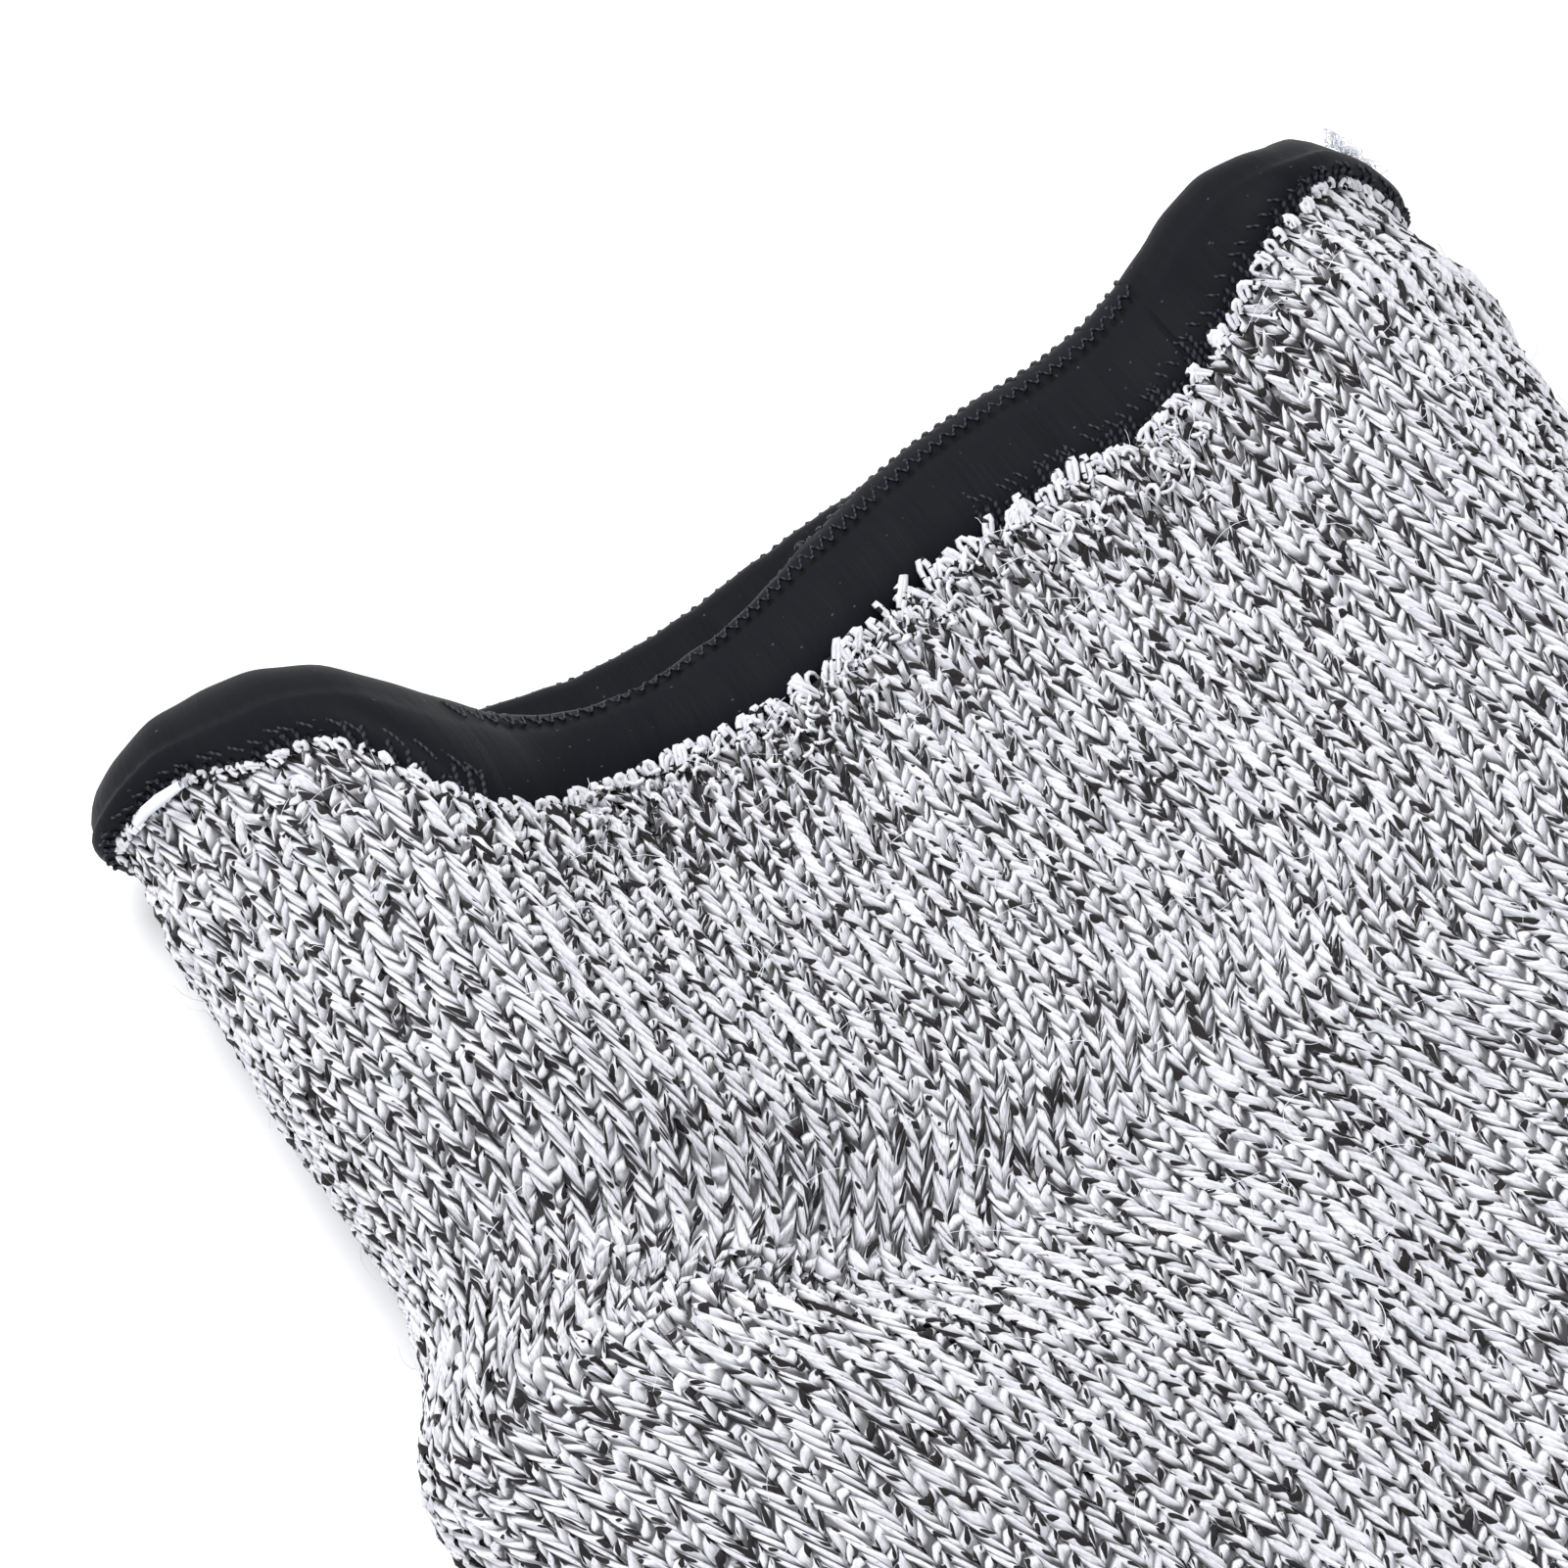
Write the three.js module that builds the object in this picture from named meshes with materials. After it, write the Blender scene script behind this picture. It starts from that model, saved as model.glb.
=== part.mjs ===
// Cut resistant sleeve: a knitted tube for the forearm, lying flat and empty, with a dark
// stretch binding folded over its edge at the wrist and again at the upper arm.
// Millimetres, +Z up. The wrist points to -X, the upper arm to +X, and the sleeve rests on z = 0.
import * as THREE from 'three'

// Driving sizes
const SLEEVE_LENGTH = 355        // knitted tube, edge to edge
const WRIST_WIDTH = 96           // lying flat, at the wrist
const UPPER_WIDTH = 124          // lying flat, at the upper arm
const TUBE_HEIGHT = 25           // how high the hollow tube stands over the table
const KNIT_WALL = 1.6            // thickness of the knit
const BAND_DEPTH = 8.5           // how far each binding reaches over the knit
const BAND_COVER = 1.3           // thickness of a binding on each face of the knit
const BAND_CREST = 1.7           // how far a binding rolls out past the knitted edge
const FIT_GAP = 0.3              // between the knit and the binding that grips it
const RIM_WAVE = 11.8            // how far the slack middle of the wrist edge falls back
const LOBE_REACH = 6             // how far a slack fold swells out of the straight taper
const WAVE_FADE = 60             // length over which the wrist edge's wave dies out

// How the facets are shared out
const ROUND_STEPS = 52
const ROWS = [                   // stretches of the tube, from the wrist to the upper arm
  { to: 0.26, rows: 22 },
  { to: 0.86, rows: 10 },
  { to: 1.00, rows: 7 },
]
const CREST_STEPS = 5

// Outline and height along the sleeve. at: share of the length; left and right: shares of
// LOBE_REACH that the fold on that side stands out of the taper; height: crown of the upper
// layer, and fold: level of the two folds, both as shares of TUBE_HEIGHT.
const SECTIONS = [
  { at: 0.000, left: -0.12, right: -0.36, height: 0.56, fold: 0.30 },
  { at: 0.030, left: -0.04, right: 0.02, height: 0.62, fold: 0.32 },
  { at: 0.070, left: 0.00, right: -0.30, height: 0.72, fold: 0.35 },
  { at: 0.110, left: -0.10, right: -0.48, height: 0.80, fold: 0.38 },
  { at: 0.128, left: 0.12, right: -0.44, height: 0.84, fold: 0.39 },
  { at: 0.150, left: 0.95, right: -0.34, height: 0.88, fold: 0.40 },
  { at: 0.180, left: 0.84, right: -0.16, height: 0.93, fold: 0.42 },
  { at: 0.240, left: 0.22, right: 0.08, height: 1.00, fold: 0.42 },
  { at: 0.400, left: 0.10, right: 0.12, height: 1.02, fold: 0.40 },
  { at: 0.600, left: -0.10, right: 0.05, height: 1.06, fold: 0.42 },
  { at: 0.800, left: 0.05, right: 0.00, height: 1.10, fold: 0.44 },
  { at: 0.930, left: 0.15, right: 0.15, height: 0.98, fold: 0.42 },
  { at: 1.000, left: 0.00, right: 0.00, height: 0.80, fold: 0.38 },
]

// How the two edges run round the tube. across: from the left fold, -1, to the right fold, 1;
// wrist: share of RIM_WAVE that the upper layer falls back, upper: the same at the upper arm.
const EDGE_WAVE = [
  { across: -1.00, wrist: 0.06, upper: 0.10 },
  { across: -0.90, wrist: 0.06, upper: 0.06 },
  { across: -0.80, wrist: 0.24, upper: 0.05 },
  { across: -0.70, wrist: 0.52, upper: 0.12 },
  { across: -0.60, wrist: 0.85, upper: 0.22 },
  { across: -0.50, wrist: 0.99, upper: 0.32 },
  { across: -0.35, wrist: 1.00, upper: 0.42 },
  { across: -0.20, wrist: 0.95, upper: 0.48 },
  { across: 0.00, wrist: 0.79, upper: 0.46 },
  { across: 0.20, wrist: 0.65, upper: 0.38 },
  { across: 0.40, wrist: 0.57, upper: 0.28 },
  { across: 0.50, wrist: 0.48, upper: 0.22 },
  { across: 0.60, wrist: 0.33, upper: 0.14 },
  { across: 0.70, wrist: 0.23, upper: 0.08 },
  { across: 0.80, wrist: 0.28, upper: 0.05 },
  { across: 0.90, wrist: 0.26, upper: 0.08 },
  { across: 1.00, wrist: 0.31, upper: 0.16 },
]

// Rolls and dents of the upper layer. at: share of the length; across: share of half the wrist
// width from the middle line; turn: degrees from the sleeve's length; length and breadth:
// shares of half the wrist width; rise: share of TUBE_HEIGHT, negative for a dent.
const FOLDS = [
  { at: 0.035, across: -0.71, turn: 0, length: 0.66, breadth: 0.17, rise: 0.29 },
  { at: 0.000, across: 0.80, turn: 0, length: 0.80, breadth: 0.18, rise: 0.30 },
  { at: 0.000, across: -0.20, turn: 0, length: 0.50, breadth: 0.24, rise: -0.03 },
  { at: 0.135, across: -0.62, turn: 62, length: 0.42, breadth: 0.15, rise: -0.24 },
  { at: 0.185, across: -0.62, turn: 25, length: 0.40, breadth: 0.22, rise: 0.10 },
  { at: 0.215, across: 0.10, turn: -25, length: 0.55, breadth: 0.12, rise: -0.10 },
  { at: 0.200, across: 0.62, turn: -12, length: 0.60, breadth: 0.16, rise: 0.06 },
  { at: 0.520, across: 0.25, turn: 70, length: 0.60, breadth: 0.22, rise: -0.10 },
  { at: 0.760, across: -0.40, turn: 50, length: 0.70, breadth: 0.24, rise: -0.09 },
  { at: 1.000, across: -0.85, turn: 0, length: 0.80, breadth: 0.28, rise: 0.22 },
  { at: 1.000, across: 0.90, turn: 0, length: 0.80, breadth: 0.28, rise: 0.20 },
]

const FLATNESS = 6               // how square the section is between its two folds
const REST_SHARE = 1.05          // over 1, the lower layer rests flat on the table
const LOBE_EDGE = 5              // how closely a lobe keeps to its fold
const BAND_LIFT = FIT_GAP + BAND_COVER
const LIFT_RUN = 24              // length in which the knit comes down from a binding's level
const PROBE = 0.01               // step for slopes, in millimetres and in radians

const COLOURS = { knit: 0xb4b6ba, binding: 0x1b1c21 }

// Smooth curve through one column of a table, whose key column rises.
function through (rows, key, column, place) {
  const last = rows.length - 1
  const spot = THREE.MathUtils.clamp(place, rows[0][key], rows[last][key])
  let i = 0
  while (i < last - 1 && rows[i + 1][key] <= spot) i++
  const slope = (j) => {
    const a = rows[Math.max(j - 1, 0)]
    const b = rows[Math.min(j + 1, last)]
    return (b[column] - a[column]) / (b[key] - a[key])
  }
  const span = rows[i + 1][key] - rows[i][key]
  const t = (spot - rows[i][key]) / span
  const start = rows[i][column] * (2 * t ** 3 - 3 * t ** 2 + 1) + slope(i) * span * (t ** 3 - 2 * t ** 2 + t)
  const end = rows[i + 1][column] * (3 * t ** 2 - 2 * t ** 3) + slope(i + 1) * span * (t ** 3 - t ** 2)
  return start + end
}

// Height that the rolls and dents add at a place of the upper layer.
function foldRise (along, side) {
  const half = WRIST_WIDTH / 2
  let rise = 0
  for (const fold of FOLDS) {
    const turn = THREE.MathUtils.degToRad(fold.turn)
    const dx = along / half - fold.at * SLEEVE_LENGTH / half
    const dy = side / half - fold.across
    const run = (dx * Math.cos(turn) + dy * Math.sin(turn)) / fold.length
    const off = (dy * Math.cos(turn) - dx * Math.sin(turn)) / fold.breadth
    rise += fold.rise * TUBE_HEIGHT * Math.exp(-run * run - off * off)
  }
  return rise
}

// The binding's thickness keeps the lower layer off the table at both ends.
function endLift (along) {
  const inside = Math.min(along, SLEEVE_LENGTH - along)
  return BAND_LIFT * (1 - THREE.MathUtils.smoothstep(inside, BAND_DEPTH, BAND_DEPTH + LIFT_RUN))
}

// Outer face of the knit. along: millimetres from the wrist edge; angle: 0 at the right fold,
// a quarter turn at the middle of the upper layer, a half turn at the left fold.
function knitFace (along, angle) {
  const at = along / SLEEVE_LENGTH
  const across = Math.cos(angle)
  const upper = Math.sin(angle) >= 0
  const taper = THREE.MathUtils.lerp(WRIST_WIDTH, UPPER_WIDTH, at) / 2
  const lobe = LOBE_REACH * through(SECTIONS, 'at', across < 0 ? 'left' : 'right', at)
  const side = across * taper + Math.sign(across) * Math.abs(across) ** LOBE_EDGE * lobe
  const roundness = Math.sqrt(Math.max(0, 1 - Math.abs(across) ** FLATNESS))
  const fold = TUBE_HEIGHT * through(SECTIONS, 'at', 'fold', at)
  const crown = TUBE_HEIGHT * through(SECTIONS, 'at', 'height', at) + foldRise(along, side)
  const lift = endLift(along)
  const level = upper
    ? fold + (crown - fold) * roundness
    : lift + (fold - lift) * (1 - Math.min(1, REST_SHARE * roundness))
  const wave = (column) => {
    const left = EDGE_WAVE[0][column]
    const right = EDGE_WAVE[EDGE_WAVE.length - 1][column]
    const lower = THREE.MathUtils.lerp(left, right, (across + 1) / 2)
    return RIM_WAVE * (upper ? through(EDGE_WAVE, 'across', column, across) : lower)
  }
  const fallBack = wave('wrist') * Math.exp(-along / WAVE_FADE) -
    wave('upper') * Math.exp(-(SLEEVE_LENGTH - along) / WAVE_FADE)
  return new THREE.Vector3(along + fallBack, side, level)
}

// Point at a depth under the outer face; past an edge the cloth runs straight on.
function clothPoint (along, angle, depth) {
  const edge = THREE.MathUtils.clamp(along, 0, SLEEVE_LENGTH)
  const near = THREE.MathUtils.clamp(edge, PROBE, SLEEVE_LENGTH - PROBE)
  const point = knitFace(edge, angle)
  const lengthwise = knitFace(near + PROBE, angle).sub(knitFace(near - PROBE, angle)).normalize()
  const roundwise = knitFace(near, angle + PROBE).sub(knitFace(near, angle - PROBE)).normalize()
  const outward = new THREE.Vector3().crossVectors(roundwise, lengthwise).normalize()
  return point.addScaledVector(lengthwise, along - edge).addScaledVector(outward, -depth)
}

// Closed skin over a ring of closed loops: loops[i][j] is point j of loop i.
function ringSolid (loops) {
  const count = loops[0].length
  const positions = loops.flat().flatMap((p) => [p.x, p.y, p.z])
  const index = []
  loops.forEach((loop, i) => {
    const here = i * count
    const next = ((i + 1) % loops.length) * count
    for (let j = 0; j < count; j++) {
      const k = (j + 1) % count
      index.push(here + j, next + j, next + k, here + j, next + k, here + k)
    }
  })
  const geometry = new THREE.BufferGeometry()
  geometry.setAttribute('position', new THREE.Float32BufferAttribute(positions, 3))
  geometry.setIndex(index)
  geometry.computeVertexNormals()
  return geometry
}

// One loop of cloth points at each step round the tube.
function roundTheTube (profile) {
  return Array.from({ length: ROUND_STEPS }, (_, i) => {
    const angle = (i / ROUND_STEPS) * 2 * Math.PI
    return profile.map(({ along, depth }) => clothPoint(along, angle, depth))
  })
}

// Lengthwise section of the knit's wall: out along the outer face and back along the inner one.
function knitProfile () {
  const rows = [0]
  let from = 0
  for (const { to, rows: count } of ROWS) {
    for (let i = 1; i <= count; i++) rows.push(THREE.MathUtils.lerp(from, to, i / count) * SLEEVE_LENGTH)
    from = to
  }
  const outer = rows.map((along) => ({ along, depth: 0 }))
  const inner = rows.map((along) => ({ along, depth: KNIT_WALL }))
  return [...outer, ...inner.reverse()]
}

// Section of a binding at the wrist: a channel open to the knit, with a rolled crest.
function bandProfile () {
  const top = -FIT_GAP - BAND_COVER
  const foot = KNIT_WALL + FIT_GAP + BAND_COVER
  const middle = KNIT_WALL / 2
  const crest = []
  for (let i = 0; i <= CREST_STEPS; i++) {
    const turn = (i / CREST_STEPS) * Math.PI
    crest.push({
      along: -BAND_CREST * Math.sin(turn),
      depth: middle - (middle - top) * Math.cos(turn),
    })
  }
  return [
    ...crest,
    { along: BAND_DEPTH, depth: foot },
    { along: BAND_DEPTH, depth: KNIT_WALL + FIT_GAP },
    { along: -FIT_GAP, depth: KNIT_WALL + FIT_GAP },
    { along: -FIT_GAP, depth: -FIT_GAP },
    { along: BAND_DEPTH, depth: -FIT_GAP },
    { along: BAND_DEPTH, depth: top },
  ].reverse()
}

function cloth (name, colour, roughness, loops) {
  const material = new THREE.MeshStandardMaterial({ color: colour, roughness, metalness: 0 })
  const mesh = new THREE.Mesh(ringSolid(loops), material)
  mesh.name = name
  return mesh
}

const atUpperArm = bandProfile().map(({ along, depth }) => ({ along: SLEEVE_LENGTH - along, depth })).reverse()

const sleeve = new THREE.Group()
sleeve.add(cloth('knit_tube', COLOURS.knit, 0.95, roundTheTube(knitProfile())))
sleeve.add(cloth('wrist_binding', COLOURS.binding, 0.6, roundTheTube(bandProfile())))
sleeve.add(cloth('upper_binding', COLOURS.binding, 0.6, roundTheTube(atUpperArm)))

// The origin is the middle of the face that the sleeve rests on.
const box = new THREE.Box3().setFromObject(sleeve)
sleeve.position.set(-(box.min.x + box.max.x) / 2, -(box.min.y + box.max.y) / 2, -box.min.z)

export default sleeve
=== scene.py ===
"""Cut resistant sleeve, dressed: a knitted tube of marled yarn with a black stretch binding.

The sleeve's form repeats the part's own sizes and tables, in millimetres, and everything is
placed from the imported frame. Some numbers of its tables were fitted once more, by up to 1.7 mm:
right from 0.000 to 0.070, left at 0.150 and 0.180, and the wrist edge's wave from -0.50 to 0.00.
Stitches, bindings, seams, loops and stray fibres are meshes.
"""
import logging
import math
from dataclasses import dataclass, field
from enum import Enum

import bpy
import numpy as np
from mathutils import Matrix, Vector


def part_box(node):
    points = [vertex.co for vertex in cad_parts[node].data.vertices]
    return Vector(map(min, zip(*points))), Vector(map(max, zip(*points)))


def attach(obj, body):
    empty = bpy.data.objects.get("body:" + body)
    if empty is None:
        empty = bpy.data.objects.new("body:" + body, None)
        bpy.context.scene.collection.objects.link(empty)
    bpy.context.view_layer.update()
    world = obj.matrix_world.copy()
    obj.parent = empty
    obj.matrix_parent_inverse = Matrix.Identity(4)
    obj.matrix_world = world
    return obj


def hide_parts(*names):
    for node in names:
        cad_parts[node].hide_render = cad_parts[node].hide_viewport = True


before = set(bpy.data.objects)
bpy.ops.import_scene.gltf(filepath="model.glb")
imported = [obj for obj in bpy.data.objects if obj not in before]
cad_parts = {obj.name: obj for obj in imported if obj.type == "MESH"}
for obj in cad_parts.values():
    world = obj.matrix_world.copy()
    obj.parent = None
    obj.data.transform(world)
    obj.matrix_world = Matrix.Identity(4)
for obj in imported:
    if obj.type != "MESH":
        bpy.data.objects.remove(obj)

LOG = logging.getLogger("sleeve")
MM = 0.001
BODY = "root"
SEED = 4127
STRAND_STEP = 7.3    # how far apart the maps of two strands stand, so that no two look alike
BAKE_EDGE = 0.04     # how much of its cell a strand leaves free at each side of the baked map
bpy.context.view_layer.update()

Table = dict[str, np.ndarray]
Grid = np.ndarray


def columns(names: str, *rows: tuple[float, ...]) -> Table:
    """Turn rows of numbers into a table with named columns.

    Args:
        names: The column names, apart by spaces.
        rows: One tuple for each row, in the order of the names.

    Returns:
        Each column by its name.
    """
    return dict(zip(names.split(), np.array(rows, dtype=float).T))


def linear(hex_colour: str, alpha: float = 1.0) -> tuple[float, float, float, float]:
    """Turn an sRGB hex colour into the linear values that a shader takes.

    Args:
        hex_colour: Six hex digits after a hash.
        alpha: Opacity.

    Returns:
        Linear red, green, blue and alpha.
    """
    digits = hex_colour.lstrip("#")
    values = [int(digits[i:i + 2], 16) / 255 for i in (0, 2, 4)]
    bent = [v / 12.92 if v <= 0.04045 else ((v + 0.055) / 1.055) ** 2.4 for v in values]
    return (*bent, alpha)


def node(tree: bpy.types.NodeTree, kind: str, links: dict[str | int, object] | None = None,
         **settings: object) -> bpy.types.Node:
    """Add one node with its settings, values and links.

    Args:
        tree: The node tree.
        kind: The node's type name, less its ShaderNode.
        links: Input name or number to a node, whose first output in use is linked, to a socket, or
            to a plain value.
        settings: Attributes of the node.

    Returns:
        The new node.
    """
    made = tree.nodes.new("ShaderNode" + kind)
    for key, value in settings.items():
        setattr(made, key, value)
    for name, source in (links or {}).items():
        if isinstance(source, bpy.types.Node):
            source = next(socket for socket in source.outputs if socket.enabled)
        if isinstance(source, bpy.types.NodeSocket):
            tree.links.new(source, made.inputs[name])
        else:
            made.inputs[name].default_value = source
    return made


def smoothstep(value: Grid, low: float, high: float) -> Grid:
    """Rise smoothly from 0 at low to 1 at high."""
    t = np.clip((value - low) / (high - low), 0, 1)
    return t * t * (3 - 2 * t)


def unit(vectors: Grid) -> Grid:
    """Scale vectors to length one."""
    return vectors / np.maximum(np.linalg.norm(vectors, axis=-1, keepdims=True), 1e-12)


def through(table: Table, key: str, column: str, place: Grid) -> Grid:
    """Read a column as a smooth curve.

    Args:
        table: The table.
        key: The column that says where each row stands; it rises.
        column: The column to read.
        place: Where to read it.

    Returns:
        The curve's value at each place.
    """
    x, y = table[key], table[column]
    spot = np.clip(np.asarray(place, dtype=float), x[0], x[-1])
    before = np.maximum(np.arange(len(x)) - 1, 0)
    after = np.minimum(np.arange(len(x)) + 1, len(x) - 1)
    slope = (y[after] - y[before]) / (x[after] - x[before])
    i = np.clip(np.searchsorted(x, spot, side="right") - 1, 0, len(x) - 2)
    span = x[i + 1] - x[i]
    t = (spot - x[i]) / span
    start = y[i] * (2 * t**3 - 3 * t**2 + 1) + slope[i] * span * (t**3 - 2 * t**2 + t)
    end = y[i + 1] * (3 * t**2 - 2 * t**3) + slope[i + 1] * span * (t**3 - t**2)
    return start + end


@dataclass
class SleeveForm:
    """The lying sleeve's smooth form, with the part's own sizes and tables, in millimetres."""

    length: float = 355.0
    wrist_width: float = 96.0
    upper_width: float = 124.0
    height: float = 25.0
    wall: float = 1.6
    band_depth: float = 8.5
    band_cover: float = 1.3
    fit_gap: float = 0.3
    rim_wave: float = 11.8
    lobe_reach: float = 6.0
    wave_fade: float = 60.0
    flatness: float = 6.0
    rest_share: float = 1.05
    lobe_edge: float = 5.0
    lift_run: float = 24.0
    probe: float = 0.01
    far_sag: float = 4.1        # how far the lower layer's wrist rim hangs back, seen through the mouth
    far_sag_at: float = -0.29
    far_sag_width: float = 0.33
    bunched_at: float = 0.08    # where, across, the binding bunches the knit most, and how wide
    bunched_width: float = 0.5
    edge_samples: int = 721     # how finely the form is sampled, round an edge and over all
    share_samples: int = 119
    angle_samples: int = 1441
    share_steps: int = 1025
    sections: Table = field(default_factory=lambda: columns(
        "at left right height fold",
        (0.000, -0.12, -0.38, 0.56, 0.30),
        (0.030, -0.04, -0.10, 0.62, 0.32),
        (0.070, 0.00, -0.33, 0.72, 0.35),
        (0.110, -0.10, -0.48, 0.80, 0.38),
        (0.128, 0.12, -0.44, 0.84, 0.39),
        (0.150, 0.80, -0.34, 0.88, 0.40),
        (0.180, 0.55, -0.16, 0.93, 0.42),
        (0.240, 0.22, 0.08, 1.00, 0.42),
        (0.400, 0.10, 0.12, 1.02, 0.40),
        (0.600, -0.10, 0.05, 1.06, 0.42),
        (0.800, 0.05, 0.00, 1.10, 0.44),
        (0.930, 0.15, 0.15, 0.98, 0.42),
        (1.000, 0.00, 0.00, 0.80, 0.38)))
    edge_wave: Table = field(default_factory=lambda: columns(
        "across wrist upper",
        (-1.00, 0.06, 0.10), (-0.90, 0.06, 0.06), (-0.80, 0.24, 0.05), (-0.70, 0.52, 0.12),
        (-0.60, 0.85, 0.22), (-0.50, 1.03, 0.32), (-0.35, 1.10, 0.42), (-0.20, 1.03, 0.48),
        (0.00, 0.82, 0.46), (0.20, 0.65, 0.38), (0.40, 0.57, 0.28), (0.50, 0.48, 0.22),
        (0.60, 0.33, 0.14), (0.70, 0.23, 0.08), (0.80, 0.28, 0.05), (0.90, 0.26, 0.08),
        (1.00, 0.31, 0.16)))
    folds: Table = field(default_factory=lambda: columns(
        "at across turn length breadth rise",
        (0.035, -0.71, 0, 0.66, 0.17, 0.29),
        (0.000, 0.80, 0, 0.80, 0.18, 0.30),
        (0.000, -0.20, 0, 0.50, 0.24, -0.03),
        (0.135, -0.62, 62, 0.42, 0.15, -0.24),
        (0.185, -0.62, 25, 0.40, 0.22, 0.10),
        (0.215, 0.10, -25, 0.55, 0.12, -0.10),
        (0.200, 0.62, -12, 0.60, 0.16, 0.06),
        (0.520, 0.25, 70, 0.60, 0.22, -0.10),
        (0.760, -0.40, 50, 0.70, 0.24, -0.09),
        (1.000, -0.85, 0, 0.80, 0.28, 0.22),
        (1.000, 0.90, 0, 0.80, 0.28, 0.20)))

    def __post_init__(self) -> None:
        """Work out where the form stands in the frame, and how stitches share the way round."""
        edges = np.array([[0.0], [self.length]])
        ends = self.raw_face(edges, np.linspace(0, 2 * math.pi, self.edge_samples))
        low, high = (np.array(corner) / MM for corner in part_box("knit_tube"))
        middle = (low + high) / 2
        own_middle = (ends[0, :, 0].min() + ends[1, :, 0].max()) / 2
        self.shift = np.array([middle[0] - own_middle, middle[1], 0])
        self.share_rows = np.linspace(0, self.length, self.share_samples)
        angles = np.linspace(-math.pi / 2, 3 * math.pi / 2, self.angle_samples)
        shares = np.linspace(0, 1, self.share_steps)
        plain = self.raw_face(self.share_rows[:, None], angles[None, :], folded=False)
        steps = np.linalg.norm(np.diff(plain[..., 1:], axis=1), axis=-1)
        walked = np.concatenate([np.zeros((len(steps), 1)), np.cumsum(steps, axis=1)], axis=1)
        self.rounds = walked[:, -1]
        self.angle_map = np.array([np.interp(shares, w / w[-1], angles) for w in walked])

    def fold_rise(self, along: Grid, side: Grid) -> Grid:
        """Give the height that the rolls and dents add to the upper layer.

        Args:
            along: Millimetres from the wrist edge.
            side: Millimetres from the sleeve's middle line, to the right.

        Returns:
            The heights, in millimetres.
        """
        half = self.wrist_width / 2
        rise = np.zeros(np.broadcast(along, side).shape)
        for at, across, turn, length, breadth, height in zip(*self.folds.values()):
            cos, sin = math.cos(math.radians(turn)), math.sin(math.radians(turn))
            dx, dy = along / half - at * self.length / half, side / half - across
            run, off = (dx * cos + dy * sin) / length, (dy * cos - dx * sin) / breadth
            rise = rise + height * self.height * np.exp(-run * run - off * off)
        return rise

    def raw_face(self, along: Grid, angle: Grid, folded: bool = True) -> Grid:
        """Outer face of the knit in the part's own setting-out.

        Args:
            along: Millimetres from the wrist edge.
            angle: 0 at the right fold, a quarter turn at the middle of the upper layer.
            folded: Whether the rolls and dents are there.

        Returns:
            Points, in millimetres.
        """
        at, across, upper = along / self.length, np.cos(angle), np.sin(angle) >= 0
        taper = (self.wrist_width + (self.upper_width - self.wrist_width) * at) / 2
        lobe = np.where(across < 0, through(self.sections, "at", "left", at),
                        through(self.sections, "at", "right", at)) * self.lobe_reach
        side = across * taper + np.sign(across) * np.abs(across) ** self.lobe_edge * lobe
        roundness = np.sqrt(np.maximum(0, 1 - np.abs(across) ** self.flatness))
        fold = self.height * through(self.sections, "at", "fold", at)
        crown = self.height * through(self.sections, "at", "height", at)
        if folded:
            crown = crown + self.fold_rise(along, side)
        inside = np.minimum(along, self.length - along)
        lift = (self.fit_gap + self.band_cover) * (
            1 - smoothstep(inside, self.band_depth, self.band_depth + self.lift_run))
        lower = lift + (fold - lift) * (1 - np.minimum(1, self.rest_share * roundness))
        level = np.where(upper, fold + (crown - fold) * roundness, lower)
        fall = (self.edge_fall("wrist", across, upper) * np.exp(-along / self.wave_fade)
                - self.edge_fall("upper", across, upper) * np.exp((along - self.length) / self.wave_fade))
        x, y, z = np.broadcast_arrays(along + fall, side, level)
        return np.stack([x, y, z], axis=-1)

    def edge_fall(self, end: str, across: Grid, upper: Grid) -> Grid:
        """Say how far an edge falls back from the end of the tube.

        Args:
            end: The edge's column, wrist or upper.
            across: Place across, from -1 at the left fold to 1 at the right one.
            upper: Whether the place is on the upper layer.

        Returns:
            Millimetres into the sleeve.
        """
        ends = self.edge_wave[end]
        lower = ends[0] + (ends[-1] - ends[0]) * (across + 1) / 2
        if end == "wrist":
            sag = np.exp(-((across - self.far_sag_at) / self.far_sag_width) ** 2)
            lower = lower + self.far_sag / self.rim_wave * sag
        return self.rim_wave * np.where(upper, through(self.edge_wave, "across", end, across), lower)

    def surface(self, along: Grid, angle: Grid) -> tuple[Grid, Grid, Grid]:
        """Places on the outer face, in the frame, with their directions.

        Args:
            along: Millimetres from the wrist edge; past an edge the cloth runs straight on.
            angle: As in raw_face.

        Returns:
            Points, outward directions and directions towards the upper arm.
        """
        along, angle = np.broadcast_arrays(np.asarray(along, dtype=float), angle)
        edge = np.clip(along, 0, self.length)
        near = np.clip(edge, self.probe, self.length - self.probe)
        ahead = unit(self.raw_face(near + self.probe, angle) - self.raw_face(near - self.probe, angle))
        round_it = unit(self.raw_face(near, angle + self.probe) - self.raw_face(near, angle - self.probe))
        points = self.raw_face(edge, angle) + ahead * (along - edge)[..., None] + self.shift
        return points, unit(np.cross(round_it, ahead)), ahead

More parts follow.
